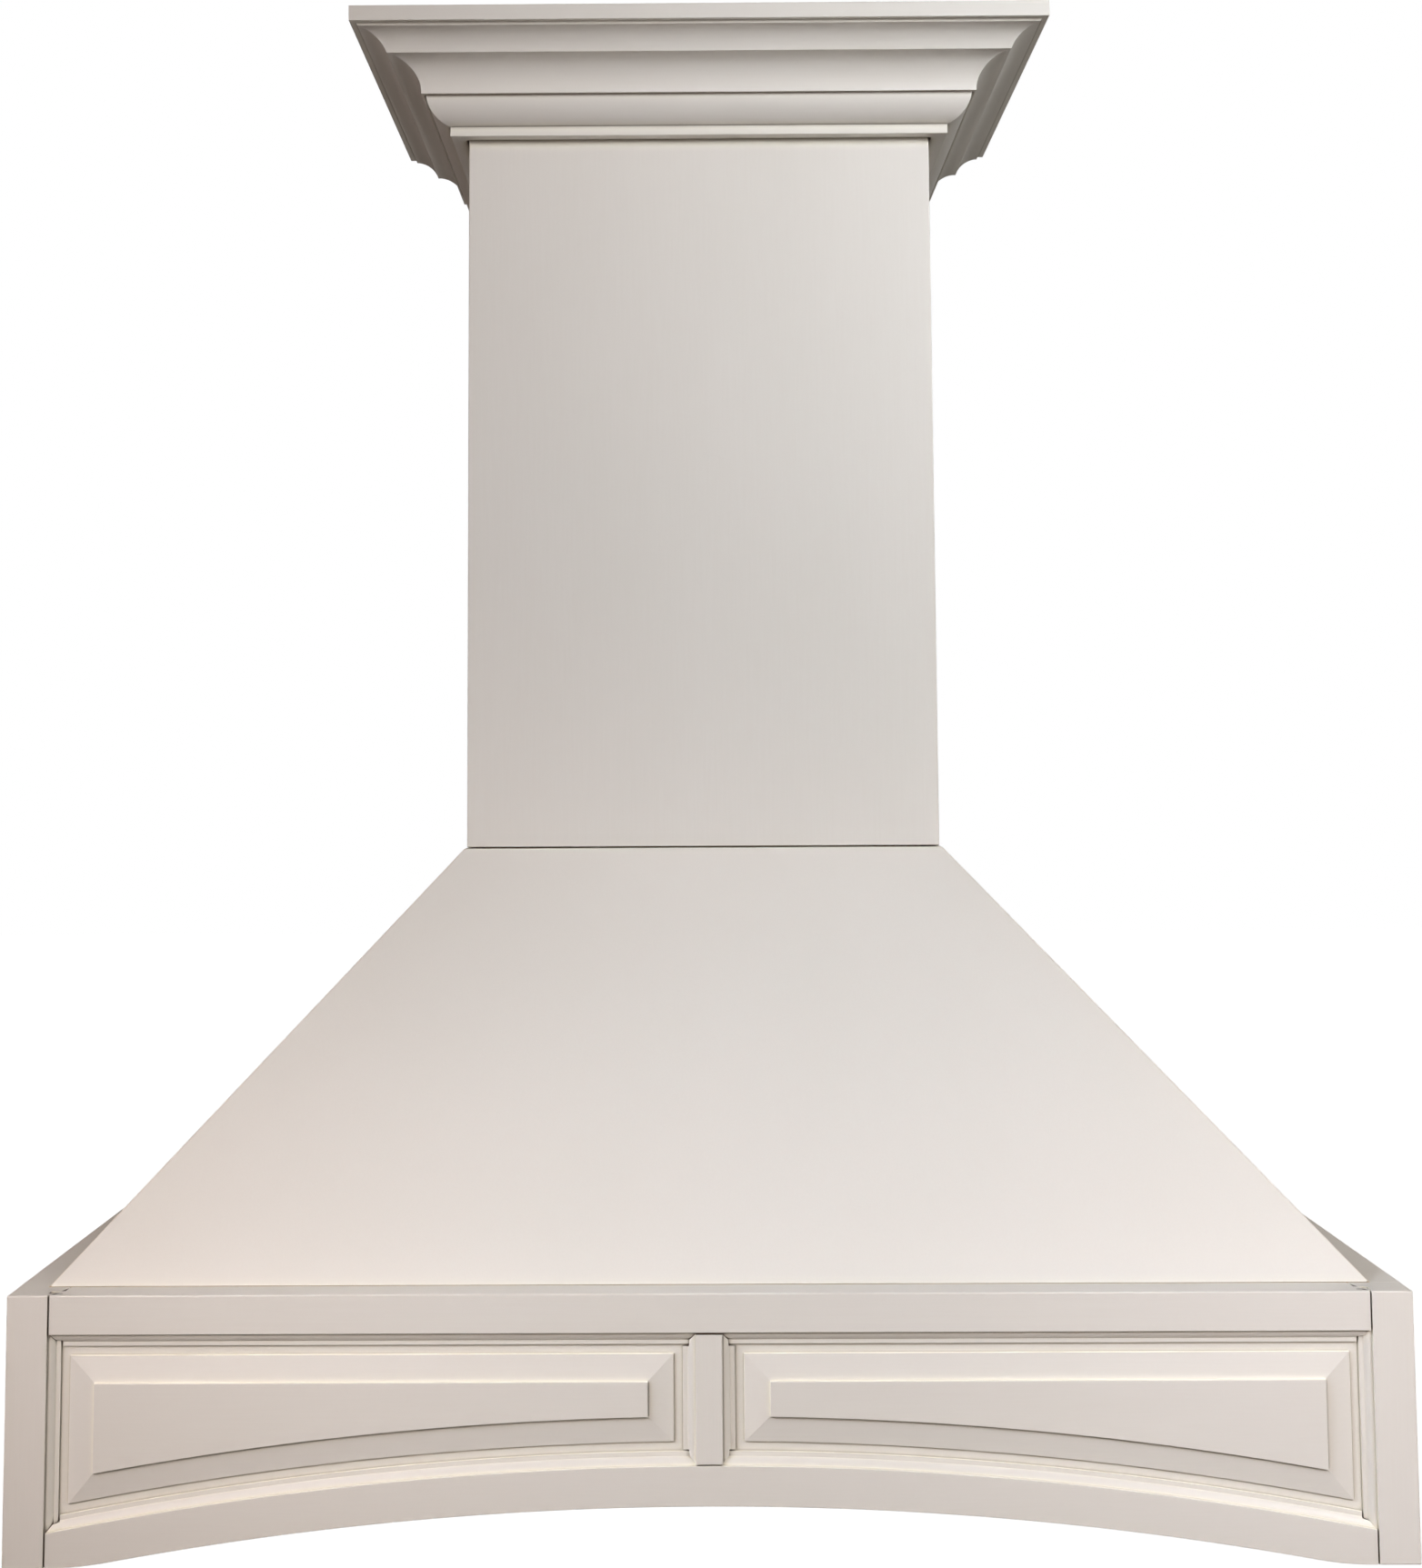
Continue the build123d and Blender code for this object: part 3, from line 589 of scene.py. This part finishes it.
def birch_face():
    """Rotary-cut birch veneer: very pale, with broad wavy figure and short fine pores."""
    material, tree = new_material("sanded_birch_plywood_face")
    figure = blotches(tree, 190, 24, 3.0, 1.4)
    pores = blotches(tree, 9, 0.6)
    stops = ((0.3, "#D9BD92"), (0.72, "#E8D3B0"))
    veneer = add(tree, "ValToRGB", {"Fac": figure}, stops=stops)
    wood = toned(tree, veneer, "#B28C5F", pores, 0.52, 0.78, 0.22)
    unpainted(tree, wood, pores, relief=0.4, depth_mm=0.08, roughness=0.6, gloss=0.3)
    return material


def birch_edge():
    """Sawn plywood edge: even plies, pale long grain by turns with darker end grain, and thin glue lines."""
    material, tree = new_material("sawn_birch_plywood_edge")
    place = add(tree, "Attribute", out="Vector", attribute_name="grain")
    through = add(tree, "SeparateXYZ", {0: place}, "Z")
    ply_pair = 2.8 * MM
    turns = add(tree, "Math", {0: through, 1: ply_pair}, operation="DIVIDE")
    ply = add(tree, "Math", {0: turns}, operation="FRACT")
    stops = ((0.0, "#DFC79F"), (0.48, "#7E5A38"), (0.53, "#B98F62"), (0.95, "#7E5A38"))
    plies = add(tree, "ValToRGB", {"Fac": ply}, stops=stops)
    plies.node.color_ramp.interpolation = "CONSTANT"
    fibres = blotches(tree, 4, 0.5)
    wood = toned(tree, plies, "#9C7449", fibres, 0.45, 0.75, 0.4)
    unpainted(tree, wood, fibres, relief=0.6, depth_mm=0.15, roughness=0.78, gloss=0.25)
    return material


def zinc_plate():
    """Bright zinc plating on steel screws: a cool grey metal with a faintly blotched lustre."""
    material, tree = new_material("zinc_plated_steel")
    place = add(tree, "TexCoord", out="Object")
    blotch = add(tree, "TexNoise", {"Vector": place, "Scale": 1 / (2.5 * MM), "Detail": 2.0}, "Fac")
    colour = add(tree, "Mix", {
        "Factor": blotch, "A": linear("#A9AEB4"), "B": linear("#C9CCD0"),
    }, "Result", data_type="RGBA")
    sheen = add(tree, "MapRange", {
        "Value": blotch, "From Min": 0.3, "From Max": 0.7, "To Min": 0.26, "To Max": 0.42,
    })
    shader = add(tree, "BsdfPrincipled", {
        "Base Color": colour, "Metallic": 1.0, "Roughness": sheen,
    })
    add(tree, "OutputMaterial", {"Surface": shader})
    return material


def studio_floor_paint():
    """Matt white floor paint with the slightest unevenness, so bright that it meets the white around it."""
    material, tree = new_material("matt_white_floor")
    # Patches about 1.7 m wide
    place = add(tree, "TexCoord", out="Object")
    wear = add(tree, "TexNoise", {"Vector": place, "Scale": 0.6, "Detail": 3.0}, "Fac")
    colour = add(tree, "Mix", {
        "Factor": wear, "A": linear("#FBFBFB"), "B": linear("#FFFFFF"),
    }, "Result", data_type="RGBA")
    shader = add(tree, "BsdfPrincipled", {
        "Base Color": colour, "Roughness": 0.9, "Specular IOR Level": 0.1,
        "Emission Color": colour, "Emission Strength": 1.0,
    })
    add(tree, "OutputMaterial", {"Surface": shader})
    return material


paint = satin_paint()
batten_wood = pine()
plywood = birch_face()
plywood_edge = birch_edge()
zinc = zinc_plate()


# ---- front frame of the apron


def post(side):
    """Corner post, moulded on its inner edge and rounded at its top."""
    outline = member_outline(post_width, face_easing)
    levels = [(underside_z, paint_easing), (underside_z + paint_easing, 0)]
    for step in range(post_top_steps + 1):
        angle = step / post_top_steps * pi / 2
        levels.append((apron_top_z - face_easing * (1 - sin(angle)), face_easing * (1 - cos(angle))))
    rings = []
    for z, inset in levels:
        ring = []
        for across, depth, _ in outline:
            x = -opening_half + max(across, inset - post_width)
            ring.append((side * x, front_y + max(depth, inset), z))
        rings.append(ring)
    return lofted(rings)


def end_tenons(z_span):
    """Stub tenons of a rail, which fill the posts' grooves."""
    reach = opening_half - groove_bottom - tenon_end_clearance
    shoulder = opening_half - moulding_width - joint_gap - overrun
    front, back = tenon_depths
    for side in (-1, 1):
        x_span = sorted((side * shoulder, side * reach))
        yield (x_span[0], front, z_span[0]), (x_span[1], back, z_span[1])


def top_rail():
    """Straight rail with coped ends."""
    outline = member_outline(top_rail_high.z - top_rail_edge_z, face_easing)
    rings = [[
        (end * (opening_half - clear), front_y + depth, top_rail_edge_z - across)
        for across, depth, clear in outline
    ] for end in (-1, 1)]
    tenon_levels = (top_rail_edge_z - groove_bottom, apron_top_z - face_easing)
    return with_tenons(lofted(rings), end_tenons(tenon_levels))


def arch_height(x):
    """Lower edge of the bottom rail: plain arch, sweep and level stretch."""
    reach = arch_radius + arch_sweep_radius
    sweep_x = sqrt(reach**2 - (underside_z + arch_sweep_radius - arch_centre_z) ** 2)
    meeting_x = sweep_x * arch_radius / reach
    if abs(x) <= meeting_x:
        return arch_centre_z + sqrt(arch_radius**2 - x**2)
    if abs(x) < sweep_x:
        return underside_z + arch_sweep_radius - sqrt(arch_sweep_radius**2 - (sweep_x - abs(x)) ** 2)
    return underside_z


def bottom_rail():
    """Arched rail with coped ends: its moulding follows one arc and its lower edge another."""
    lower = eased([(0, frame_thickness, 0), (0, 0, arch_easing), (1, 0, 0)], False)[:-1]
    upper = moulding_front() + moulding_back()
    rings = []
    for step in range(arch_steps + 1):
        share = 2 * step / arch_steps - 1
        ring = []
        for rise, depth in lower:
            x = share * (opening_half - joint_gap)
            if depth > groove_setback:
                x = share * (opening_half - moulding_width - joint_gap)
            ring.append((x, front_y + depth, arch_height(x) + rise))
        for across, depth, clear in upper:
            x = share * (opening_half - clear)
            z = arch_centre_z + sqrt((rail_edge_radius + across) ** 2 - x**2)
            ring.append((x, front_y + depth, z))
        rings.append(ring)
    tenon_top_z = arch_centre_z + sqrt((rail_edge_radius + groove_bottom) ** 2 - opening_half**2)
    return with_tenons(lofted(rings), end_tenons((underside_z, tenon_top_z - tenon_end_clearance)))


def mullion():
    """Middle upright, coped over both rails."""
    half = moulding_front() + moulding_back()
    edge = mullion_width / 2
    outline = [(edge + across, depth, clear) for across, depth, clear in half]
    outline += [(-x, depth, clear) for x, depth, clear in reversed(outline)]
    low = []
    high = []
    for x, depth, clear in outline:
        low.append((x, front_y + depth, arch_centre_z + sqrt((rail_edge_radius + clear) ** 2 - x**2)))
        high.append((x, front_y + depth, top_rail_edge_z - clear))
    half = edge + groove_bottom
    foot_z = arch_centre_z + rail_edge_radius + groove_bottom + tenon_end_clearance
    head_z = top_rail_edge_z - groove_bottom - tenon_end_clearance
    front, back = tenon_depths
    return with_tenons(lofted([low, high]), [((-half, front, foot_z), (half, back, head_z))])


def panel_ring(margin, depth, side):
    """Outline of a panel at a distance inside the frame's edges."""
    left = -opening_half + margin
    right = -mullion_width / 2 - margin
    top = top_rail_edge_z - margin
    radius = rail_edge_radius + margin
    ring = [(left, top), (right, top)]
    for step in range(panel_arch_steps + 1):
        x = right + (left - right) * step / panel_arch_steps
        ring.append((x, arch_centre_z + sqrt(radius**2 - x**2)))
    return [(side * x, front_y + depth, z) for x, z in ring]


def raised_panel(side):
    """Panel with a flat tongue, a mitred bevel and a raised field."""
    tongue_margin = groove_bottom + tongue_end_clearance
    bevel_top = field_setback + field_step
    bevel_foot = bevel_top + bevel_drop
    field_margin = panel_margin + bevel_width
    ladder = eased([
        (tongue_margin, tongue_back, 0),
        (tongue_margin, tongue_front, 0),
        (panel_margin, tongue_front, inner_easing),
        (panel_margin, bevel_foot, paint_easing),
        (field_margin, bevel_top, inner_easing),
        (field_margin, field_setback, paint_easing),
        (field_margin + field_rim, field_setback, 0),
    ], closed=False)
    mitres = (0, 1, 2, -1)
    return lofted([panel_ring(point.x, point.y, side) for point in ladder], mitres)


frame_members = [
    ("post_left", post(1), "Z", 1),
    ("post_right", post(-1), "Z", 2),
    ("top_rail", top_rail(), "X", 3),
    ("arched_bottom_rail", bottom_rail(), "X", 4),
    ("mullion", mullion(), "Z", 5),
    ("raised_panel_left", raised_panel(1), "X", 6),
    ("raised_panel_right", raised_panel(-1), "X", 7),
]
for node, shape, along, log_place in frame_members:
    piece = piece_from(f"painted_{node}", shape)
    finished(piece, node, (along, log_place), paint, batten_wood, lambda normal: normal.y > back_facing)

# ---- apron sides, cone and chimney

apron_side = box_corners(*limits("apron_side_left"))


def cone_corner(z, inside):
    """Half width and depth of the cone's outer or inner faces at a height."""
    share = (z - apron_top_z) / cone_rise
    half_width = cone_half_width - side_run * share - side_inset * inside
    depth = cone_depth - front_run * share - front_inset * inside
    return half_width, depth


def cone_skin_corners(place):
    """Front skin, mitred along both hips, or left skin, mitred along its hip."""
    corners = []
    for z in (apron_top_z, seam_z):
        for inside in (0, 1):
            half_width, depth = cone_corner(z, inside)
            far_end = (half_width, -depth, z) if place == "front" else (-half_width, 0, z)
            corners += [(-half_width, -depth, z), far_end]
    return corners


chimney_front = box_corners(chimney_low, chimney_high)
chimney_side = box_corners(*limits("chimney_side_left"))
outwards = {"left": (-1, 0, 0), "right": (1, 0, 0), "front": (0, -1, 0)}
further_in_log = {"left": 4 / 9, "right": 5 / 9, "front": 5 / 9}  # parts of a step
skins = [
    ("apron_side", "left", apron_side, "THIN_X", 8),
    ("cone_front", "front", cone_skin_corners("front"), "Z", 9),
    ("cone_side", "left", cone_skin_corners("left"), "Z", 10),
    ("chimney_front", "front", chimney_front, "THIN_X", 11),
    ("chimney_side", "left", chimney_side, "THIN_X", 12),
]
screws_low, screws_high = limits("crown_screws")
crown_screw_z = (screws_low.z + screws_high.z) / 2


def crown_screw_lines():
    """Starts and directions of the screws from inside the chimney into the crown's blocks."""
    lines = []
    for name in ("left", "middle", "right"):
        low, high = limits(f"crown_block_front_{name}")
        lines.append((((low.x + high.x) / 2, -chimney_inner_depth, crown_screw_z), (0, -1, 0)))
    for name in ("rear", "fore"):
        low, high = limits(f"crown_block_{name}_left")
        for side in (-1, 1):
            start = (side * chimney_inner_half_width, (low.y + high.y) / 2, crown_screw_z)
            lines.append((start, (side, 0, 0)))
    return lines


def screw_hole_shapes(lines):
    """Countersunk holes for screws."""
    mouth = screw_head_radius + screw_clearance
    neck = screw_recess + screw_head_height
    shank = screw_shank_radius + screw_clearance
    profile = [(-overrun, mouth), (screw_recess, mouth), (neck, shank), (screw_length + overrun, shank)]
    return [lofted(turned(profile, start, direction, hole_sides)) for start, direction in lines]


for name, place, corners, along, log_place in skins:
    sides = ("left", "right") if place == "left" else (place,)
    for side in sides:
        node = name if place == "front" else f"{name}_{side}"
        points = flipped(corners) if side == "right" else corners
        piece = piece_from(f"painted_{node}", hulled(points, skin_easing))
        if name.startswith("chimney"):
            lines = [line for line in crown_screw_lines() if line[1] == outwards[side]]
            cut_away(piece, screw_hole_shapes(lines))
        finished(
            piece, node, (along, log_place + further_in_log[side]), paint, plywood,
            lambda normal: normal.dot(outwards[side]) < -inward_facing,
        )

# ---- crown


def crown_outline():
    """Crown section as distances out from the chimney and up from its foot."""
    overhang = chimney_low.y - crown_low.y
    height = crown_high.z - crown_low.z
    band_foot = (overhang, height - band_height)
    bead_top = (band_foot[0] - band_setback, band_foot[1])
    bead_foot = (bead_top[0] - bead_setback, bead_top[1] - bead_height)
    start = (bead_foot[0] - bead_return, bead_foot[1])
    corners = [
        (overhang, height, paint_easing),
        (*band_foot, paint_easing),
        (*bead_top, 0),
        (*bead_foot, paint_easing),
        (*start, 0),
    ]
    for width, drop, bulge, step in crown_curves:
        end = (start[0] - width, start[1] - drop)
        corners += [(p.x, p.y, 0) for p in bowed(start, end, bulge, crown_steps)]
        corners.append((*end, paint_easing if step else 0))
        if step:
            start = (end[0] - step, end[1])
            corners.append((*start, 0))
    corners += [
        (end[0], 0, paint_easing),
        (crown_gap, 0, paint_easing),
        (crown_gap, crown_land, 0),
        (overhang - crown_top_width, height, 0),
    ]
    return [(p.x, p.y) for p in eased(corners)]


def crown_lengths():
    """Front length and both returns, mitred at the front corners."""
    outline = crown_outline()
    mitre = [(-chimney_half_width - out, -chimney_depth - out, crown_low.z + up) for out, up in outline]
    wall = [(-chimney_half_width - out, 0, crown_low.z + up) for out, up in outline]
    yield "crown_front", lofted([mitre, flipped(mitre)]), "X"
    yield "crown_return_left", lofted([mitre, wall]), "Y"
    yield "crown_return_right", lofted([flipped(mitre), flipped(wall)]), "Y"


for log_place, (node, shape, along) in enumerate(crown_lengths(), crown_log_place):
    finished(piece_from(f"painted_{node}", shape), node, (along, log_place), paint)

# ---- battens, rails and rings


def levels_between(z_span, x_at, y_at):
    """Corners of a board whose sides slope between two levels."""
    return [(x, y, z) for z in z_span for x in x_at(z) for y in y_at(z)]


def inner_half_width(z):
    """Half the clear width inside the cone."""
    return cone_corner(z, 1)[0]


def inner_depth(z):
    """Clear depth inside the cone."""
    return cone_corner(z, 1)[1]


def hip_batten_corners():
    """Three-cornered strip inside the left hip."""
    corners = []
    for z in (apron_top_z, ring_bottom_z):
        x = -inner_half_width(z)
        y = -inner_depth(z)
        corners += [(x, y, z), (x + hip_batten_leg, y, z), (x, y + hip_batten_leg, z)]
    return corners


def crown_block_corners(node):
    """Wedge between the chimney and the crown's sloping back."""
    low, high = limits(node)
    overhang = chimney_low.y - crown_low.y
    section = [
        (0, crown_low.z + crown_land),
        (crown_gap, crown_low.z + crown_land),
        (overhang - crown_top_width, crown_high.z),
        (0, crown_high.z),
    ]
    if "front" in node:
        return [(x, -chimney_depth - out, z) for x in (low.x, high.x) for out, z in section]
    side = 1 if node.endswith("right") else -1
    return [(side * (chimney_half_width + out), y, z) for y in (low.y, high.y) for out, z in section]


rail_low, rail_high = limits("upper_wall_rail")
batten_depth = rail_high.y - rail_low.y
insert_middle_y = (frame_back_y - batten_depth) / 2
ring_span = (ring_bottom_z, seam_z)
rail_ends = (rail_low.z, rail_high.z)

sloped_boards = {
    "hip_batten_left": (hip_batten_corners(), "Z"),
    "hip_batten_right": (flipped(hip_batten_corners()), "Z"),
    "upper_wall_rail": (levels_between(
        rail_ends,
        lambda z: (rear_batten_width - inner_half_width(z), inner_half_width(z) - rear_batten_width),
        lambda z: (-batten_depth, 0),
    ), "THIN_Y"),
    "cone_ring_front": (levels_between(
        ring_span, lambda z: (-ring_half_width, ring_half_width), lambda z: (-inner_depth(z), -ring_depth),
    ), "X"),
}
for side, sign in (("left", -1), ("right", 1)):
    sloped_boards[f"cone_rear_batten_{side}"] = (levels_between(
        (apron_top_z, ring_bottom_z),
        lambda z: (sign * inner_half_width(z), sign * (inner_half_width(z) - rear_batten_width)),
        lambda z: (-batten_depth, 0),
    ), "Z")
    sloped_boards[f"cone_ring_{side}"] = (levels_between(
        ring_span,
        lambda z: (sign * inner_half_width(z), sign * ring_half_width),
        lambda z: (-inner_depth(z), 0),
    ), "Y")

plain_boards = {
    "lower_wall_rail": "THIN_Y", "insert_board": "X",
    "insert_cleat_front": "X", "insert_cleat_left": "Y", "insert_cleat_right": "Y",
    "cone_seat_front": "X", "cone_seat_left": "Y", "cone_seat_right": "Y",
    "cone_ring_back": "X", "chimney_ring_front": "X", "chimney_ring_back": "X",
    "chimney_ring_left": "Y", "chimney_ring_right": "Y",
    "corner_batten_left": "Z", "corner_batten_right": "Z", "ceiling_rail": "THIN_Y",
}
boards = {node: (box_corners(*limits(node)), along) for node, along in plain_boards.items()}
boards |= sloped_boards
blocks = [f"crown_block_front_{name}" for name in ("left", "middle", "right")]
blocks += [f"crown_block_{name}_{side}" for name in ("rear", "fore") for side in ("left", "right")]
boards |= {node: (crown_block_corners(node), "Z") for node in blocks}

# ---- holes and screws


def mount_holes(mount_name, radius, depth):
    """Round holes of one of the record's bolt patterns, in rows that stand on the wall or lie in a board."""
    mount = next(m for m in frame["record"]["mounts"] if m["name"] == mount_name)
    centre = Vector(mount["pos_m"]) / MM
    inward = -Vector(mount["axis"])
    half_x = mount["dims"]["spacing_x_mm"] / 2
    half_y = mount["dims"].get("spacing_y_mm", 0) / 2
    second = Vector((0, 0, 1)) if abs(inward.y) > abs(inward.z) else Vector((0, 1, 0))
    shapes = []
    for x in (-half_x, half_x):
        for y in sorted({-half_y, half_y}):
            start = centre + Vector((x, 0, 0)) + second * y
            profile = [(-overrun, radius), (depth + overrun, radius)]
            shapes.append(lofted(turned(profile, start, inward, hole_sides)))
    return shapes


def insert_cutout():
    """Rounded opening in the insert board."""
    x, y = cutout_half_width, cutout_half_depth
    outline = eased([
        (across, insert_middle_y + along, cutout_corner_radius)
        for across, along in ((-x, -y), (x, -y), (x, y), (-x, y))
    ], steps=cutout_corner_steps)
    levels = (insert_low.z - overrun, insert_high.z + overrun)
    return lofted([[(p.x, p.y, z) for p in outline] for z in levels])


def insert_screw_lines():
    """Screws up through the insert board into its cleats and the wall rail."""
    low, high = limits("insert_board_screws")
    side_x = high.x - screw_head_radius
    rows = (low.y + screw_head_radius, high.y - screw_head_radius)
    offsets = (-insert_screw_offset, insert_screw_offset)
    places = [(x, insert_middle_y + y) for x in (-side_x, side_x) for y in offsets]
    places += [(x, y) for x in offsets for y in rows]
    return [((x, y, insert_low.z), (0, 0, 1)) for x, y in places]


def ring_screw_lines():
    """Screws up through the cone's ring into the chimney's ring."""
    low, high = limits("ring_screws")
    side_x = high.x - screw_head_radius
    offsets = (-ring_screw_offset, ring_screw_offset)
    places = [(x, -chimney_inner_depth / 2 + y) for x in (-side_x, side_x) for y in offsets]
    places += [(x, low.y + screw_head_radius) for x in offsets]
    return [((x, y, ring_bottom_z), (0, 0, 1)) for x, y in places]


def screw_shape():
    """Countersunk screw with a cross recess and a rolled thread, head at Z = 0."""
    neck = screw_recess + screw_head_height
    tip = screw_length - screw_tip_length
    rings = [
        circle(screw_head_radius - screw_head_rim, screw_recess, screw_sides),
        circle(screw_head_radius, screw_recess + screw_head_rim, screw_sides),
        circle(screw_root_radius, neck, screw_sides),
    ]
    count = int((screw_length - neck - thread_end) / thread_pitch * thread_steps)
    for step in range(1, count + 1):
        height = neck + step * thread_pitch / thread_steps
        taper = min(1, (screw_length - height) / screw_tip_length) if height > tip else 1
        ring = []
        for side in range(screw_sides):
            angle = 2 * pi * side / screw_sides
            phase = (height / thread_pitch - side / screw_sides) % 1
            crest = max(0, 1 - abs(phase - 0.5) * thread_steepness)
            radius = (screw_root_radius + (screw_shank_radius - screw_root_radius) * crest) * taper
            ring.append((radius * cos(angle), radius * sin(angle), height))
        rings.append(ring)
    rings.append(circle(screw_tip_radius, screw_length, screw_sides))
    return lofted(rings)


def recess_shapes():
    """The two bars of the cross recess, drawn in towards the bottom."""
    half_length, half_width, depth = cross_recess
    shapes = []
    for long_way in (True, False):
        rings = []
        for height, share in ((screw_recess - overrun / 2, 1.0), (screw_recess + depth, cross_taper)):
            x, y = half_length * share, half_width
            if not long_way:
                x, y = y, x
            rings.append([(-x, -y, height), (x, -y, height), (x, y, height), (-x, y, height)])
        shapes.append(lofted(rings))
    return shapes


def screw_group(name, lines, pattern):
    """One mesh of separate screws on their lines."""
    shape = bmesh.new()
    for index, (start, direction) in enumerate(lines):
        place = aimed(Vector(start) * MM, direction) @ Matrix.Rotation(index * cross_turn, 4, "Z")
        before = len(shape.verts)
        shape.from_mesh(pattern.data)
        shape.verts.ensure_lookup_table()
        bmesh.ops.transform(shape, matrix=place, verts=shape.verts[before:])
    mesh = bpy.data.meshes.new(name)
    shape.to_mesh(mesh)
    shape.free()
    return linked(name, mesh)


screw_lines = {
    "insert_board_screws": insert_screw_lines(),
    "ring_screws": ring_screw_lines(),
    "crown_screws": crown_screw_lines(),
}
ring_holes = {
    "cone_ring_left": screw_lines["ring_screws"][:2],
    "cone_ring_right": screw_lines["ring_screws"][2:4],
    "cone_ring_front": screw_lines["ring_screws"][4:],
}


def openings(node):
    """Shapes to cut out of a board: its screw holes, and the insert board's opening."""
    if node in ("lower_wall_rail", "upper_wall_rail", "ceiling_rail"):
        return mount_holes(node, wall_hole_radius, batten_depth)
    if node == "insert_board":
        screw_holes = screw_hole_shapes(screw_lines["insert_board_screws"])
        flange_holes = mount_holes("insert_screws", insert_hole_radius, insert_high.z - insert_low.z)
        return [insert_cutout()] + screw_holes + flange_holes
    return screw_hole_shapes(ring_holes.get(node, []))


for log_place, (node, (corners, along)) in enumerate(boards.items(), batten_log_place):
    piece = piece_from(f"bare_{node}", hulled(corners, batten_easing, 2))
    cut_away(piece, openings(node))
    if node == "insert_board":
        finished(
            piece, node, (along, log_place), plywood, plywood_edge,
            lambda normal: abs(normal.z) < edge_facing,
        )
    else:
        finished(piece, node, (along, log_place), batten_wood)

pattern = piece_from("screw_pattern", screw_shape())
cut_away(pattern, recess_shapes())
for node, lines in screw_lines.items():
    group = screw_group(f"zinc_{node}", lines, pattern)
    finished(group, node, ("Z", 0), zinc)
bpy.data.objects.remove(pattern)

# ---- studio

hanging_height = 1.65  # metres from the floor to the hood's underside, as over a cooker
floor_half_width = 30.0
horizon_blend = 0.3  # from this far under the horizon to as far over it, on a ball of radius 1


def studio_floor():
    """Wide floor, well under the hood, that is seen but throws no light on it."""
    half = floor_half_width
    z = underside_z * MM - hanging_height
    mesh = bpy.data.meshes.new("studio_floor")
    corners = [(-half, -half, z), (half, -half, z), (half, half, z), (-half, half, z)]
    mesh.from_pydata(corners, [], [(0, 1, 2, 3)])
    mesh.materials.append(studio_floor_paint())
    floor = linked("studio_floor", mesh)
    floor.visible_diffuse = False
    floor.visible_glossy = False


def softbox(name, place, target, size, power, colour, beam):
    """Rectangular soft light that faces a point, with a grid where its beam is narrower than 180 degrees."""
    light = bpy.data.lights.new(name, "AREA")
    light.shape = "RECTANGLE"
    light.size, light.size_y = size
    light.energy = power
    light.color = linear(colour)[:3]
    light.spread = radians(beam)
    lamp = linked(name, light)
    lamp.location = place
    lamp.visible_camera = False
    lamp.rotation_euler = (Vector(target) - Vector(place)).to_track_quat("-Z", "Y").to_euler()


def studio_air(sky_strength, ground_strength, colour):
    """White surroundings for the eye, with faint light from above and a little less from below."""
    world = bpy.data.worlds.new("studio")
    world.use_nodes = True
    tree = world.node_tree
    tree.nodes.clear()
    place = add(tree, "TexCoord", out="Generated")
    height = add(tree, "SeparateXYZ", {0: place}, "Z")
    strength = add(tree, "MapRange", {
        "Value": height, "From Min": -horizon_blend, "From Max": horizon_blend,
        "To Min": ground_strength, "To Max": sky_strength,
    })
    lit = add(tree, "Background", {"Color": linear(colour), "Strength": strength})
    seen = add(tree, "Background", {"Color": linear("#FFFFFF"), "Strength": 1.0})
    camera_ray = add(tree, "LightPath", out="Is Camera Ray")
    both = add(tree, "MixShader", {0: camera_ray, 1: lit, 2: seen})
    add(tree, "OutputWorld", {0: both})
    bpy.context.scene.world = world


studio_floor()
studio_air(sky_strength=0.08, ground_strength=0.05, colour="#FFEED8")
middle = (0, -0.4, 0.3)
right_foot = (0.45, -0.55, 0.0)
wide = (0.9, 0.9)
small = (0.5, 0.5)
softboxes = [  # name, place and aim in metres, size, watts, colour and beam in degrees
    ("right_softbox", (1.4, -1.5, 0.95), middle, wide, 14.3, "#FEFFFC", 180),
    ("left_softbox", (-1.4, -1.5, 0.95), middle, wide, 8.5, "#FFEBE6", 180),
    ("high_right_grid", (0.8, -1.7, 1.2), (0.15, -0.3, 0.85), small, 1.15, "#F1F8FF", 50),
    ("right_foot_grid", (1.0, -1.6, 0.5), right_foot, small, 0.45, "#FFF6FA", 40),
    ("crossing_grid", (-1.4, -1.5, 0.95), right_foot, small, 1.2, "#DDEFFF", 40),
    ("low_grid", (-0.5, -2.0, -0.3), right_foot, small, 0.25, "#FFEBD5", 40),
    ("left_panel_grid", (-0.7, -1.7, 0.5), (-0.3, -0.55, -0.02), small, 0.52, "#FFF2EA", 40),
    ("back_strip", (0, 3.0, 0.75), (0, 0, 0.45), (0.34, 0.5), 77, "#FFFAF4", 180),
]
for settings in softboxes:
    softbox(*settings)

# ---- camera

# Found by fitting the hood's corners to the photograph, taken as 1564 x 1725 pixels
photo_width, photo_height = 1564, 1725
focal_pixels = 2436.0
principal = (740.4, 649.5)  # pixels from the left and from the top
camera_x, camera_y, camera_height = -0.01167, -2.03298, 0.50328  # metres; height above the underside
yaw, pitch, roll = 0.0061, 0.0864, -0.0050
sensor = 36.0
camera_data = bpy.data.cameras.new("studio_camera")
camera_data.sensor_fit = "AUTO"
camera_data.sensor_width = sensor
camera_data.lens = focal_pixels / photo_height * sensor
camera_data.shift_x = (photo_width / 2 - principal[0]) / photo_height
camera_data.shift_y = (principal[1] - photo_height / 2) / photo_height
camera = linked("studio_camera", camera_data)
camera.location = (camera_x, camera_y, underside_z * MM + camera_height)
turn = Matrix.Rotation(yaw, 3, "Z") @ Matrix.Rotation(pi / 2 + pitch, 3, "X") @ Matrix.Rotation(roll, 3, "Z")
camera.rotation_euler = turn.to_euler()
bpy.context.scene.camera = camera
bpy.context.scene.view_settings.view_transform = "Standard"
